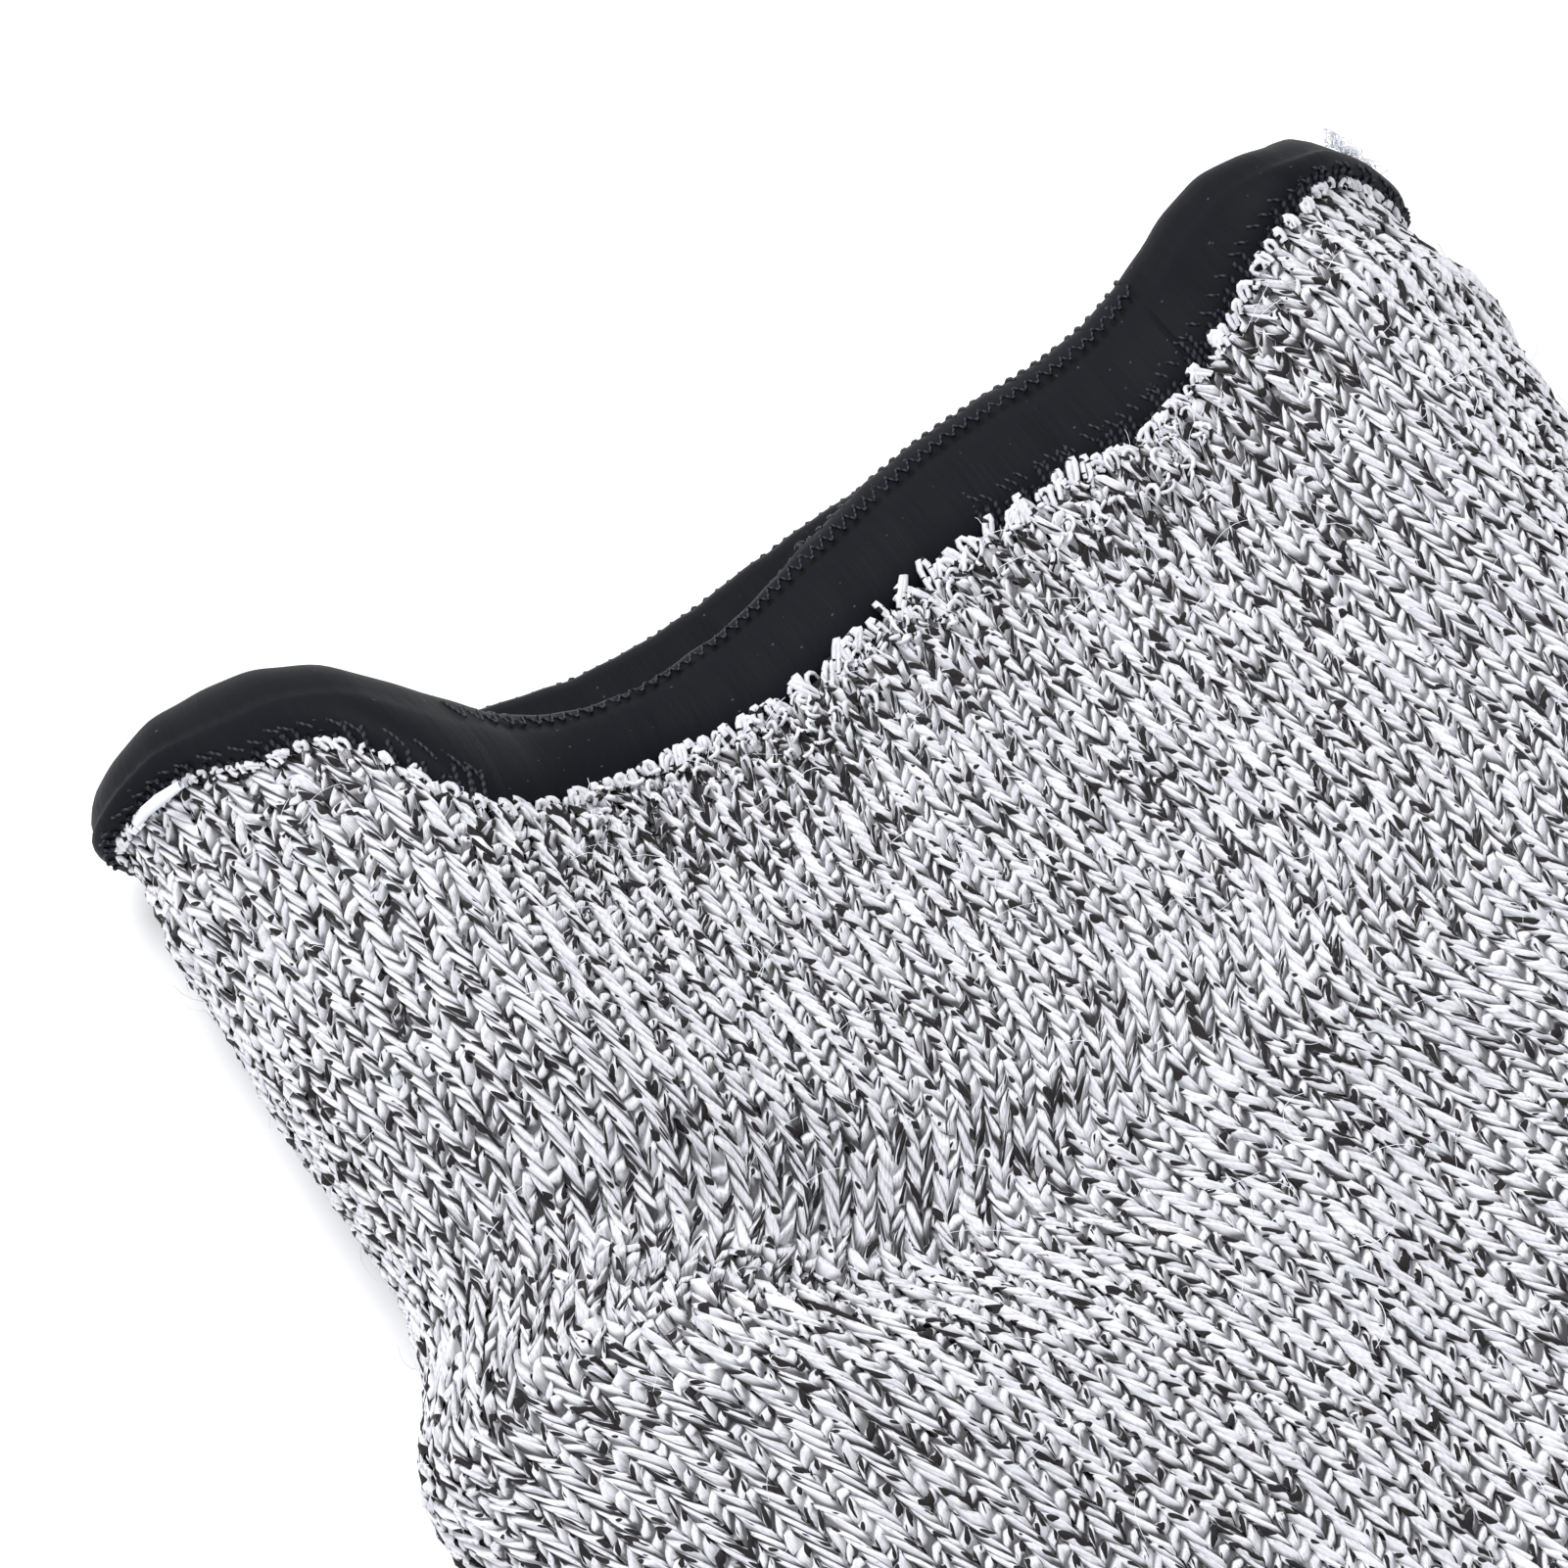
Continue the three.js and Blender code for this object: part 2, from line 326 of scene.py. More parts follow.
    def angle_at(self, share: Grid, along: Grid) -> Grid:
        """Find the angle of a place that is a share of the way round.

        Args:
            share: Share of the way round, from the middle of the lower layer.
            along: Millimetres from the wrist edge.

        Returns:
            The angles, as in raw_face.
        """
        turns = np.floor(share)
        column = (share - turns) * (self.angle_map.shape[1] - 1)
        row = np.clip(along / self.length, 0, 1) * (len(self.share_rows) - 1)
        i = np.clip(row.astype(int), 0, len(self.share_rows) - 2)
        j = np.clip(column.astype(int), 0, self.angle_map.shape[1] - 2)
        s, t = row - i, column - j
        near = self.angle_map[i, j] * (1 - t) + self.angle_map[i, j + 1] * t
        far = self.angle_map[i + 1, j] * (1 - t) + self.angle_map[i + 1, j + 1] * t
        return near * (1 - s) + far * s + turns * 2 * math.pi

    def bunched(self, across: Grid) -> Grid:
        """How much the binding bunches the knit: most near the middle of the upper layer."""
        return np.exp(-((across - self.bunched_at) / self.bunched_width) ** 2)


class MeshParts:
    """Points, faces and maps gathered for one mesh."""

    def __init__(self) -> None:
        """Start empty."""
        self.points: list[Grid] = []
        self.quads: list[Grid] = []
        self.maps: dict[str, list[Grid]] = {}
        self.count = 0

    def add_grid(self, points: Grid, maps: dict[str, Grid] | None = None, flip: bool = False,
                 wrap_rows: bool = False, wrap_columns: bool = False) -> None:
        """Add grids of quads.

        Args:
            points: Points of one or many grids, as (..., rows, columns, 3).
            maps: Map name to coordinates of each point, as (..., rows, columns, 2).
            flip: Whether the faces turn over.
            wrap_rows: Whether the last row joins the first.
            wrap_columns: Whether the last column joins the first.
        """
        rows, cols = points.shape[-3:-1]
        flat = points.reshape(-1, rows, cols, 3)
        r = np.arange(rows if wrap_rows else rows - 1)
        c = np.arange(cols if wrap_columns else cols - 1)
        r, c = (a.ravel() for a in np.meshgrid(r, c, indexing="ij"))
        r2, c2 = (r + 1) % rows, (c + 1) % cols
        quad = np.stack([r * cols + c, r * cols + c2, r2 * cols + c2, r2 * cols + c], axis=-1)
        if flip:
            quad = quad[:, ::-1]
        starts = np.arange(len(flat)) * rows * cols + self.count
        self.quads.append((quad[None] + starts[:, None, None]).reshape(-1, 4))
        self.points.append(flat.reshape(-1, 3))
        for name, values in (maps or {}).items():
            self.maps.setdefault(name, []).append(values.reshape(-1, 2))
        self.count += flat.shape[0] * rows * cols

    def build(self, name: str, material: bpy.types.Material, *nodes: str) -> bpy.types.Object:
        """Make the object, which rides on the sleeve.

        Args:
            name: The piece's name.
            material: Its finish.
            nodes: The part's nodes that it stands for.

        Returns:
            The new object.
        """
        points = np.concatenate(self.points) * MM
        quads = np.concatenate(self.quads)
        mesh = bpy.data.meshes.new(name)
        mesh.vertices.add(len(points))
        mesh.vertices.foreach_set("co", points.astype(np.float32).ravel())
        mesh.loops.add(quads.size)
        mesh.loops.foreach_set("vertex_index", quads.astype(np.int32).ravel())
        mesh.polygons.add(len(quads))
        mesh.polygons.foreach_set("loop_start", np.arange(0, quads.size, 4, dtype=np.int32))
        mesh.polygons.foreach_set("use_smooth", np.ones(len(quads), dtype=bool))
        for label, values in self.maps.items():
            layer = mesh.uv_layers.new(name=label)
            layer.data.foreach_set("uv", np.concatenate(values)[quads.ravel()].astype(np.float32).ravel())
        mesh.update()
        mesh.validate()
        mesh.materials.append(material)
        made = bpy.data.objects.new(name, mesh)
        bpy.context.scene.collection.objects.link(made)
        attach(made, BODY)
        if nodes:
            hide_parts(*nodes)
        return made


def strands(parts: MeshParts, paths: Grid, outward: Grid, radius: Grid | float, sides: int) -> None:
    """Add round strands along many paths of as many points each.

    Args:
        parts: Where they go.
        paths: Points, as (strands, points, 3).
        outward: A direction across each point's run, in the same form.
        radius: Radius in millimetres, one for all or as (strands, points).
        sides: Sides of each strand.
    """
    run = unit(np.gradient(paths, axis=1))
    across = unit(np.cross(run, outward))
    up = unit(np.cross(across, run))
    turn = np.arange(sides) * 2 * math.pi / sides
    ring = np.cos(turn)[:, None] * across[:, :, None, :] + np.sin(turn)[:, None] * up[:, :, None, :]
    radii = np.broadcast_to(radius, paths.shape[:2])
    points = paths[:, :, None, :] + ring * radii[:, :, None, None]
    lengths = np.concatenate([np.zeros((len(paths), 1)),
                              np.cumsum(np.linalg.norm(np.diff(paths, axis=1), axis=-1), axis=1)], axis=1)
    count, steps = paths.shape[:2]
    number = np.arange(count)[:, None, None]
    map_u = np.broadcast_to(lengths[:, :, None], points.shape[:-1]) + number * STRAND_STEP
    map_v = np.broadcast_to(np.arange(sides) / sides, points.shape[:-1])
    cells = math.ceil(math.sqrt(count))
    used = 1 - 2 * BAKE_EDGE
    bake_u = (number % cells + BAKE_EDGE + used * np.linspace(0, 1, steps)[None, :, None] + 0 * map_v) / cells
    bake_v = (number // cells + BAKE_EDGE + used * map_v) / cells
    parts.add_grid(points, {"OFBake": np.stack([bake_u, bake_v], axis=-1),
                            "Strand": np.stack([map_u, map_v], axis=-1)}, wrap_columns=True)


@dataclass(frozen=True)
class MarledYarn:
    """High-strength polyethylene filament, twisted with a black ply and weft knitted.

    White strands with short black dashes, a soft waxy gloss and dark gaps, painted as shade with the black
    yarn behind.
    """

    white: str = "#E5E5E9"
    shaded_white: str = "#C6C7CF"
    single: str = "#EEF1FA"
    black: str = "#0B090D"
    brown_black: str = "#1A1214"
    # painted shade between strands, with the black yarn that shows behind them
    gap_shade: str = "#141217"
    black_share: float = 0.37
    dash_taper: float = 1.15    # how much less black shows at a strand's sides than along its middle
    dashes_per_leg: float = 1.25
    tape_shadow_courses: float = 19.0    # the knit is gathered this far from the wrist, and darker with painted shadow of the tape
    tape_shadow_black: float = 0.075
    tape_shadow_half: float = 0.22    # how far from the middle the painted shadow of the tape reaches, as a share of the way round
    filament_lanes: float = 5.0    # bundles of filaments across a strand, coarser than the real ones
    right_slimmer: float = 0.07    # how much wider the gaps are between right legs
    end_taper: float = 0.75     # how much a strand's ends narrow
    gap_least: float = 0.35     # how dark the painted shade of the gaps is, from one strand to the next
    gap_most: float = 0.98
    gap_play: float = 0.13      # how much wider the painted shade of some gaps is than of others
    twists_per_leg: float = 5.0
    twist_mm: float = 0.035
    valley_relief_mm: float = 0.35
    dash_lean: float = 0.55     # how far a dash leans across its strand
    row_step: float = 5.37      # how far apart the strands read the noise, so that no two look alike
    dash_spread: float = 0.42
    dash_edge: tuple[float, float] = (-0.012, 0.018)
    streaks_per_dash: float = 1.3
    streak_range: tuple[float, float, float] = (0.42, 0.72, 0.6)    # from, to, and how grey
    leg_grey: float = 0.45      # how much greyer some legs are than others
    gap_range: tuple[float, float] = (0.30, 0.51)    # where the painted shade of the gaps begins and is full, off the middle
    tuck_shade_range: tuple[float, float, float] = (0.40, 0.50, 0.7)    # the same at a leg's ends, where it tucks under the next, and how dark that painted shade is
    purl_bow: float = 0.25      # how far the inner side's arcs bow, in courses
    # painted shade in the valleys between the inner side's arcs, with the black yarn behind: from, to, and
    # how dark
    purl_gap_shade: tuple[float, float, float] = (-0.2, -0.9, 0.75)
    loose_legs: float = 0.3     # legs to a millimetre of a single loop
    loose_band: tuple[float, float] = (0.3, 0.15)    # how wide, and where, a loop reads across a strand

    def coloured(self, tree: bpy.types.NodeTree, yarn_map: bpy.types.Node,
                 row: bpy.types.Node, painted_shadow_black: bpy.types.Node | float = 0.0) -> bpy.types.Node:
        """Give the yarn's own colour, without the painted shade of its gaps; the last argument can add
        painted shadow.

        Args:
            tree: The material's tree.
            yarn_map: Place along the yarn, in legs, and across the strand, from 0 to 1.
            row: A number that is the same along one strand.
            painted_shadow_black: How much more of the black ply shows, as painted shadow.

        Returns:
            The node that gives the colour.
        """
        parts = node(tree, "SeparateXYZ", {0: yarn_map})
        slant = node(tree, "Math", {0: parts.outputs[1], 1: self.dash_lean, 2: parts.outputs[0]},
                     operation="MULTIPLY_ADD")
        length = node(tree, "Math", {0: slant, 1: self.dashes_per_leg}, operation="MULTIPLY")
        apart = node(tree, "Math", {0: row, 1: self.row_step}, operation="MULTIPLY")
        place = node(tree, "CombineXYZ", {0: length, 1: apart})
        dashes = node(tree, "TexNoise", {"Vector": place, "Scale": 1.0, "Detail": 1.5, "Roughness": 0.55},
                      noise_dimensions="2D")
        middle = node(tree, "Math", {0: parts.outputs[1], 1: 0.5}, operation="SUBTRACT")
        square = node(tree, "Math", {0: middle, 1: middle}, operation="MULTIPLY")
        tapered = node(tree, "Math", {0: square, 1: -self.dash_taper, 2: dashes}, operation="MULTIPLY_ADD")
        blacker = node(tree, "Math", {0: tapered, 1: painted_shadow_black}, operation="ADD")
        start = 0.5 + self.dash_spread * (0.5 - self.black_share)
        begin, full = (start + edge for edge in self.dash_edge)
        dark = node(tree, "MapRange", {"Value": blacker, "From Min": begin, "From Max": full},
                    interpolation_type="SMOOTHSTEP")
        hue = node(tree, "TexWhiteNoise", {"Vector": place}, noise_dimensions="2D")
        leg = node(tree, "Math", {0: parts.outputs[0]}, operation="FLOOR")
        leg_place = node(tree, "CombineXYZ", {0: leg, 1: apart})
        leg_hue = node(tree, "TexWhiteNoise", {"Vector": leg_place}, noise_dimensions="2D")
        lanes = node(tree, "Math", {0: parts.outputs[1], 1: self.filament_lanes, 2: apart},
                     operation="MULTIPLY_ADD")
        streaks = node(tree, "Math", {0: length, 1: self.streaks_per_dash}, operation="MULTIPLY")
        fibre_at = node(tree, "CombineXYZ", {0: streaks, 1: lanes})
        fibres = node(tree, "TexNoise", {"Vector": fibre_at, "Scale": 1.0, "Detail": 1.0},
                      noise_dimensions="2D")
        low, high, most = self.streak_range
        streak = node(tree, "MapRange", {"Value": fibres, "From Min": low, "From Max": high,
                                         "To Max": most})
        tone = node(tree, "Math", {0: leg_hue, 1: self.leg_grey, 2: streak}, operation="MULTIPLY_ADD",
                    use_clamp=True)
        light = node(tree, "Mix", {"Factor": tone, 6: linear(self.white), 7: linear(self.shaded_white)},
                     data_type="RGBA")
        deep = node(tree, "Mix", {"Factor": hue, 6: linear(self.black), 7: linear(self.brown_black)},
                    data_type="RGBA")
        return node(tree, "Mix", {"Factor": dark, 6: light, 7: deep}, data_type="RGBA")

    def filament(self) -> bpy.types.Material:
        """Make the finish of single white filaments: plain, a little bluish.

        Returns:
            The material.
        """
        made, tree = new_material("white_polyethylene_filament")
        surface = node(tree, "BsdfPrincipled", {"Base Color": linear(self.single), "Roughness": 0.5})
        node(tree, "OutputMaterial", {"Surface": surface})
        return made

    def shader(self, tree: bpy.types.NodeTree, colour: bpy.types.Node,
               height: bpy.types.Node, depth_mm: float) -> None:
        """Finish a tree with the yarn's gloss and fine relief.

        Args:
            tree: The material's tree.
            colour: The base colour.
            height: Fine relief, from 0 to 1.
            depth_mm: What the relief's full height stands for.
        """
        bump = node(tree, "Bump", {"Strength": 0.8, "Distance": depth_mm * MM, "Height": height})
        surface = node(tree, "BsdfPrincipled", {"Base Color": colour, "Roughness": 0.7, "IOR": 1.5,
                                                "Specular IOR Level": 0.3, "Sheen Weight": 0.08,
                                                "Sheen Roughness": 0.5, "Normal": bump})
        node(tree, "OutputMaterial", {"Surface": surface})

    def knitted(self, wales: int) -> bpy.types.Material:
        """Make the finish of the knitted face, read from the Stitch map.

        Args:
            wales: How many wales go round; the middle one is the most gathered, with the most painted shadow
                of the tape.

        Returns:
            The material.
        """
        made, tree = new_material("marled_polyethylene_knit")
        place = node(tree, "UVMap", uv_map="Stitch")
        parts = node(tree, "SeparateXYZ", {0: place})
        course = node(tree, "Math", {0: parts.outputs[1]}, operation="FLOOR")
        across = node(tree, "Math", {0: parts.outputs[1]}, operation="FRACT")
        along = node(tree, "Math", {0: parts.outputs[0]}, operation="FRACT")
        yarn_map = node(tree, "CombineXYZ", {0: parts.outputs[0], 1: across})
        # painted shadow of the wrist tape: more black ply over the first courses, most in the middle of the
        # upper layer
        gathered = node(tree, "MapRange", {"Value": parts.outputs[1], "From Min": self.tape_shadow_courses,
                                           "From Max": self.tape_shadow_courses / 2,
                                           "To Max": self.tape_shadow_black}, interpolation_type="SMOOTHSTEP")
        aside = node(tree, "Math", {0: parts.outputs[0], 1: float(wales)}, operation="SUBTRACT")
        away = node(tree, "Math", {0: aside}, operation="ABSOLUTE")
        reach = 2 * wales * self.tape_shadow_half
        bunched = node(tree, "MapRange", {"Value": away, "From Min": reach, "From Max": reach / 2},
                       interpolation_type="SMOOTHSTEP")
        painted_shadow_black = node(tree, "Math", {0: gathered, 1: bunched}, operation="MULTIPLY")
        colour = self.coloured(tree, yarn_map, course, painted_shadow_black)
        # painted shade between the strands and at a leg's tucked ends, mixed towards the colour of the gaps
        side = node(tree, "Math", {0: across, 1: 0.5}, operation="SUBTRACT")
        off = node(tree, "Math", {0: side}, operation="ABSOLUTE")
        end = node(tree, "Math", {0: along, 1: 0.5}, operation="SUBTRACT")
        far = node(tree, "Math", {0: end}, operation="ABSOLUTE")
        leg = node(tree, "Math", {0: parts.outputs[0], 1: 2.0}, operation="MODULO")
        right = node(tree, "Math", {0: leg, 1: 1.0}, operation="GREATER_THAN")
        slim = node(tree, "Math", {0: right, 1: self.right_slimmer, 2: off}, operation="MULTIPLY_ADD")
        curve = node(tree, "Math", {0: far, 1: far}, operation="MULTIPLY")
        strand = node(tree, "Math", {0: parts.outputs[0]}, operation="FLOOR")
        cell = node(tree, "CombineXYZ", {0: strand, 1: course})
        chance = node(tree, "TexWhiteNoise", {"Vector": cell}, noise_dimensions="2D")
        play = node(tree, "MapRange", {"Value": chance, "To Min": -self.gap_play / 2,
                                       "To Max": self.gap_play / 2})
        loose = node(tree, "Math", {0: slim, 1: play}, operation="ADD")
        lens = node(tree, "Math", {0: curve, 1: self.end_taper, 2: loose}, operation="MULTIPLY_ADD")
        gap_shade = node(tree, "MapRange", {"Value": lens, "From Min": self.gap_range[0],
                                      "From Max": self.gap_range[1]}, interpolation_type="SMOOTHSTEP")
        low, high, most = self.tuck_shade_range
        tuck_shade = node(tree, "MapRange", {"Value": far, "From Min": low, "From Max": high, "To Max": most},
                    interpolation_type="SMOOTHSTEP")
        shade = node(tree, "Math", {0: gap_shade, 1: tuck_shade}, operation="MAXIMUM")
        depth = node(tree, "MapRange", {"Value": chance, "To Min": self.gap_least, "To Max": self.gap_most})
        share = node(tree, "Math", {0: shade, 1: depth}, operation="MULTIPLY")
        shaded = node(tree, "Mix", {"Factor": share, 6: colour, 7: linear(self.gap_shade)}, data_type="RGBA")
        twist = node(tree, "Math", {0: parts.outputs[0], 1: self.twists_per_leg * 2 * math.pi,
                                    2: parts.outputs[1]}, operation="MULTIPLY_ADD")
        ply = node(tree, "Math", {0: twist}, operation="SINE")
        level = node(tree, "Math", {0: ply, 1: 0.5, 2: 0.5}, operation="MULTIPLY_ADD")
        self.shader(tree, shaded, level, self.twist_mm)
        return made

    def purled(self) -> bpy.types.Material:
        """Make the finish of the inner, purl side, read from the Purl map of wales and courses.

        Returns:
            The material.
        """
        made, tree = new_material("marled_polyethylene_purl")
        place = node(tree, "UVMap", uv_map="Purl")
        parts = node(tree, "SeparateXYZ", {0: place})
        course = node(tree, "Math", {0: parts.outputs[1]}, operation="FLOOR")
        across = node(tree, "Math", {0: parts.outputs[1]}, operation="FRACT")
        swing = node(tree, "Math", {0: parts.outputs[0], 1: 2 * math.pi}, operation="MULTIPLY")
        wave = node(tree, "Math", {0: swing}, operation="SINE")
        bow = node(tree, "Math", {0: wave, 1: self.purl_bow, 2: parts.outputs[1]}, operation="MULTIPLY_ADD")
        ridge = node(tree, "Math", {0: bow, 1: 2 * math.pi}, operation="MULTIPLY")
        level = node(tree, "Math", {0: ridge}, operation="SINE")
        legs = node(tree, "Math", {0: parts.outputs[0], 1: 2.0}, operation="MULTIPLY")
        yarn_map = node(tree, "CombineXYZ", {0: legs, 1: across})
        colour = self.coloured(tree, yarn_map, course)
        # painted shade in the valleys between the arcs
        low, high, most = self.purl_gap_shade
        gap_shade = node(tree, "MapRange", {"Value": level, "From Min": low, "From Max": high, "To Max": most},
                   interpolation_type="SMOOTHSTEP")
        shaded = node(tree, "Mix", {"Factor": gap_shade, 6: colour, 7: linear(self.gap_shade)}, data_type="RGBA")
        self.shader(tree, shaded, level, self.valley_relief_mm)
        return made

    def loose(self) -> bpy.types.Material:
        """Make the finish of single loops of the yarn, read from the Strand map.

        Returns:
            The material.
        """
        made, tree = new_material("marled_polyethylene_yarn")
        place = node(tree, "UVMap", uv_map="Strand")
        parts = node(tree, "SeparateXYZ", {0: place})
        legs = node(tree, "Math", {0: parts.outputs[0], 1: self.loose_legs}, operation="MULTIPLY")
        wide, start = self.loose_band
        across = node(tree, "Math", {0: parts.outputs[1], 1: wide, 2: start}, operation="MULTIPLY_ADD")
        yarn_map = node(tree, "CombineXYZ", {0: legs, 1: across})
        colour = self.coloured(tree, yarn_map, legs)
        twist = node(tree, "Math", {0: parts.outputs[1], 1: 2 * math.pi, 2: parts.outputs[0]},
                     operation="MULTIPLY_ADD")
        ply = node(tree, "Math", {0: twist}, operation="SINE")
        self.shader(tree, colour, ply, self.twist_mm)
        return made


def new_material(name: str) -> tuple[bpy.types.Material, bpy.types.NodeTree]:
    """Make an empty node material.

    Args:
        name: Its name.

    Returns:
        The material and its cleared tree.
    """
    made = bpy.data.materials.new(name)
    made.use_nodes = True
    made.node_tree.nodes.clear()
    return made, made.node_tree


class Layer(Enum):
    """How closely a stretch of wales is modelled."""

    SHOWN = "shown"
    UNDER = "under"


@dataclass
class KnitTube:
    """The knitted tube: every stitch's two legs as raised strands over an inner face."""

    form: SleeveForm
    yarn: MarledYarn
    wales: int = 116
    course_mm: float = 1.17
    sections: int = 5
    fine_until_mm: float = 118.0
    apex: float = 0.54          # where a wale's left leg ends, as a share of its width
    left_drop: float = 1.95     # courses that a left leg runs down
    right_rise: float = 0.85    # courses that a right leg runs back up
    strand_rise_mm: float = 0.34
    valley_mm: float = 0.42
    under_from: float = 0.16    # shares of the way round that rest on the table
    inner_columns: int = 116
    inner_rows: int = 130
    ground_depth_mm: float = 0.6
    edge_mm: float = 0.2        # how far inside the knit's edges its stitches end
    # how far stitches stray, even and disturbed: in courses, in shares of a wale, and in height
    stray_along: tuple[float, float] = (0.15, 0.25)
    stray_across: tuple[float, float] = (0.04, 0.07)
    stray_height: tuple[float, float] = (0.085, 0.16)
    left_fullness: float = 0.6    # below 1, a left leg is rounder than a half wave
    leg_ends: float = 0.45      # how high a leg stands at its ends, as a share of its middle
    leg_level: float = 0.35     # the share of that height which lies on the smooth face
    right_lower_mm: float = 0.07
    gathered_mm: float = 5.0    # how far the bindings disturb the stitches
    gathered_least: float = 0.3
    crease: tuple[float, ...] = (50, 9, -32, 15, 0.7)    # along and reach, side and reach, strength
    puff: tuple[float, float, float] = (0.55, 2.2, 2.4)    # height, place past a binding, reach

    def build(self) -> list[bpy.types.Object]:
        """Make the sections of the tube.

        Returns:
            The pieces.
        """
        self.rng = np.random.default_rng(SEED)
        last = int(self.form.length / self.course_mm - self.left_drop - 1)
        fine = int(self.fine_until_mm / self.course_mm)
        cuts = [0, fine // 2, fine, *np.linspace(fine, last, self.sections - 1).astype(int)[1:]]
        material = self.yarn.knitted(self.wales)
        made = []
        for number, (first, end) in enumerate(zip(cuts, cuts[1:]), start=1):
            parts = MeshParts()
            close = end <= fine
            plain = (0.0, 0.3, 0.7) if number == self.sections - 2 else (0.0, 0.5)
            self.add_wales(parts, Layer.SHOWN, first, end, (0.0, 0.25, 0.5, 0.75) if close else plain)
            self.add_wales(parts, Layer.UNDER, first, end, (0.0, 0.5))
            piece = parts.build(f"knit_section_{number}", material, "knit_tube")
            made.append(piece)
        return made

    def build_inner(self) -> bpy.types.Object:
        """Make the tube's inner face, with the ground under the strands, as one closed shell.

        Returns:
            The piece.
        """
        form, parts = self.form, MeshParts()
        there = np.linspace(0, form.length, self.inner_rows)
        along = np.concatenate([there, there[::-1]])[:, None]
        depth = np.repeat((self.ground_depth_mm, form.wall), self.inner_rows)[:, None]
        share = np.linspace(0, 1, self.inner_columns, endpoint=False)[None, :]
        share, along = np.broadcast_arrays(share, along)
        points, outward, _ = form.surface(along, form.angle_at(share, along))
        points = points - outward * depth[..., None]
        row = np.arange(len(along))[:, None] / len(along)
        bake = np.stack(np.broadcast_arrays(0.01 + 0.97 * share, 0.01 + 0.98 * row), axis=-1)
        purl = np.stack(np.broadcast_arrays(share * self.wales, along / self.course_mm), axis=-1)
        parts.add_grid(points, {"OFBake": bake, "Purl": purl}, flip=True, wrap_rows=True, wrap_columns=True)
        piece = parts.build("knit_inner_face", self.yarn.purled(), "knit_tube")
        return piece

    def mess(self, along: Grid, angle: Grid) -> Grid:
        """Say how disturbed the stitches are: most under the bindings and in the deep crease.

        Args:
            along: Millimetres from the wrist edge.
            angle: As in the form's raw_face.

        Returns:
            0 where the stitches lie even, about 1 where they are most disturbed.
        """
        form, least = self.form, self.gathered_least
        ends = np.minimum(along, form.length - along)
        near = np.exp(-((ends - form.band_depth) / self.gathered_mm) ** 2)
        gathered = near * (least + (1 - least) * form.bunched(np.cos(angle)))
        side = np.cos(angle) * form.wrist_width / 2
        at, reach, middle, breadth, strength = self.crease
        crease = np.exp(-((along - at) / reach) ** 2 - ((side - middle) / breadth) ** 2)
        return gathered + strength * crease * (np.sin(angle) > 0)

    def add_wales(self, parts: MeshParts, layer: Layer, first: int, end: int,
                  across: tuple[float, ...]) -> None:
        """Add the strands of one layer's wales.

        Args:
            parts: The mesh in the making.
            layer: Which wales.
            first: First course.
            end: Course after the last.
            across: Where the rows stand across each strand, from its valley at 0.
        """
        centre = (np.arange(self.wales) + 0.5) / self.wales
        under = (centre < self.under_from) | (centre > 1 - self.under_from)
        wales = np.flatnonzero(under if layer is Layer.UNDER else ~under)
        rows, bars = len(across), end - first
        for leg in (0, 1):
            t = np.array((0.0, 0.5, 1.0) if layer is Layer.SHOWN else (0.0, 1.0))
            shape = (len(wales), bars * rows + 1, len(t))
            row = np.arange(bars * rows + 1)
            bar, step = row // rows, row % rows
            fraction = np.array(across)[step]
            jitter_y = self.rng.normal(0, 1, (len(wales), bars + 1, len(t)))[:, bar]
            jitter_h = self.rng.normal(0, 1, (len(wales), bars + 1, 1))[:, bar]
            jitter_a = self.rng.normal(0, 1, (len(wales), bars + 1, len(t)))[:, bar]
            if leg == 0:
                place, run = t * self.apex, t * self.left_drop
            else:
                place, run = self.apex + t * (1 - self.apex), self.left_drop - t * self.right_rise
            course = np.broadcast_to((first + bar + fraction)[None, :, None] + run, shape)
            rough_angle = self.form.angle_at((wales[:, None, None] + 0.5) / self.wales,
                                             np.clip(course * self.course_mm, 0, self.form.length))
            mess = self.mess(course * self.course_mm, rough_angle)
            even, more = self.stray_along
            along = (course + jitter_y * (even + more * mess)) * self.course_mm
            along = np.clip(along, self.edge_mm, self.form.length - self.edge_mm)
            even, more = self.stray_across
            a = place + jitter_a * (even + more * mess)
            share = (wales[:, None, None] + 1 - a) / self.wales
            angle = self.form.angle_at(share, along)
            crest = np.sin(np.pi * fraction)[None, :, None] ** (self.left_fullness if leg == 0 else 1.0)
            body = self.leg_ends + (1 - self.leg_ends) * np.sin(np.pi * t)
            height = -self.valley_mm * (1 - crest) + crest * self.strand_rise_mm * (body - self.leg_level)
            even, more = self.stray_height
            height = height + crest * jitter_h * (even + more * mess)
            if leg == 1:
                height = height - self.right_lower_mm
            points, outward, _ = self.form.surface(along, angle)
            height = height + self.puffed(along)
            points = points + outward * height[..., None]
            points[..., 2] = np.maximum(points[..., 2], 0.0)
            leg_at = 2 * wales[:, None, None] + leg + t
            strand_at = (first + bar + fraction)[None, :, None]
            stitch = np.stack(np.broadcast_arrays(leg_at, strand_at), axis=-1)
            flat = self.unrolled(share, along, first, end)
            parts.add_grid(points, {"OFBake": flat, "Stitch": stitch})

    def puffed(self, along: Grid) -> Grid:
        """Say how far the knit swells where it comes out from under a binding.

        Args:
            along: Millimetres from the wrist edge.

        Returns:
            The swelling, in millimetres.
        """
        past = np.minimum(along, self.form.length - along) - self.form.band_depth
        height, place, reach = self.puff
        return height * np.exp(-((past - place) / reach) ** 2)

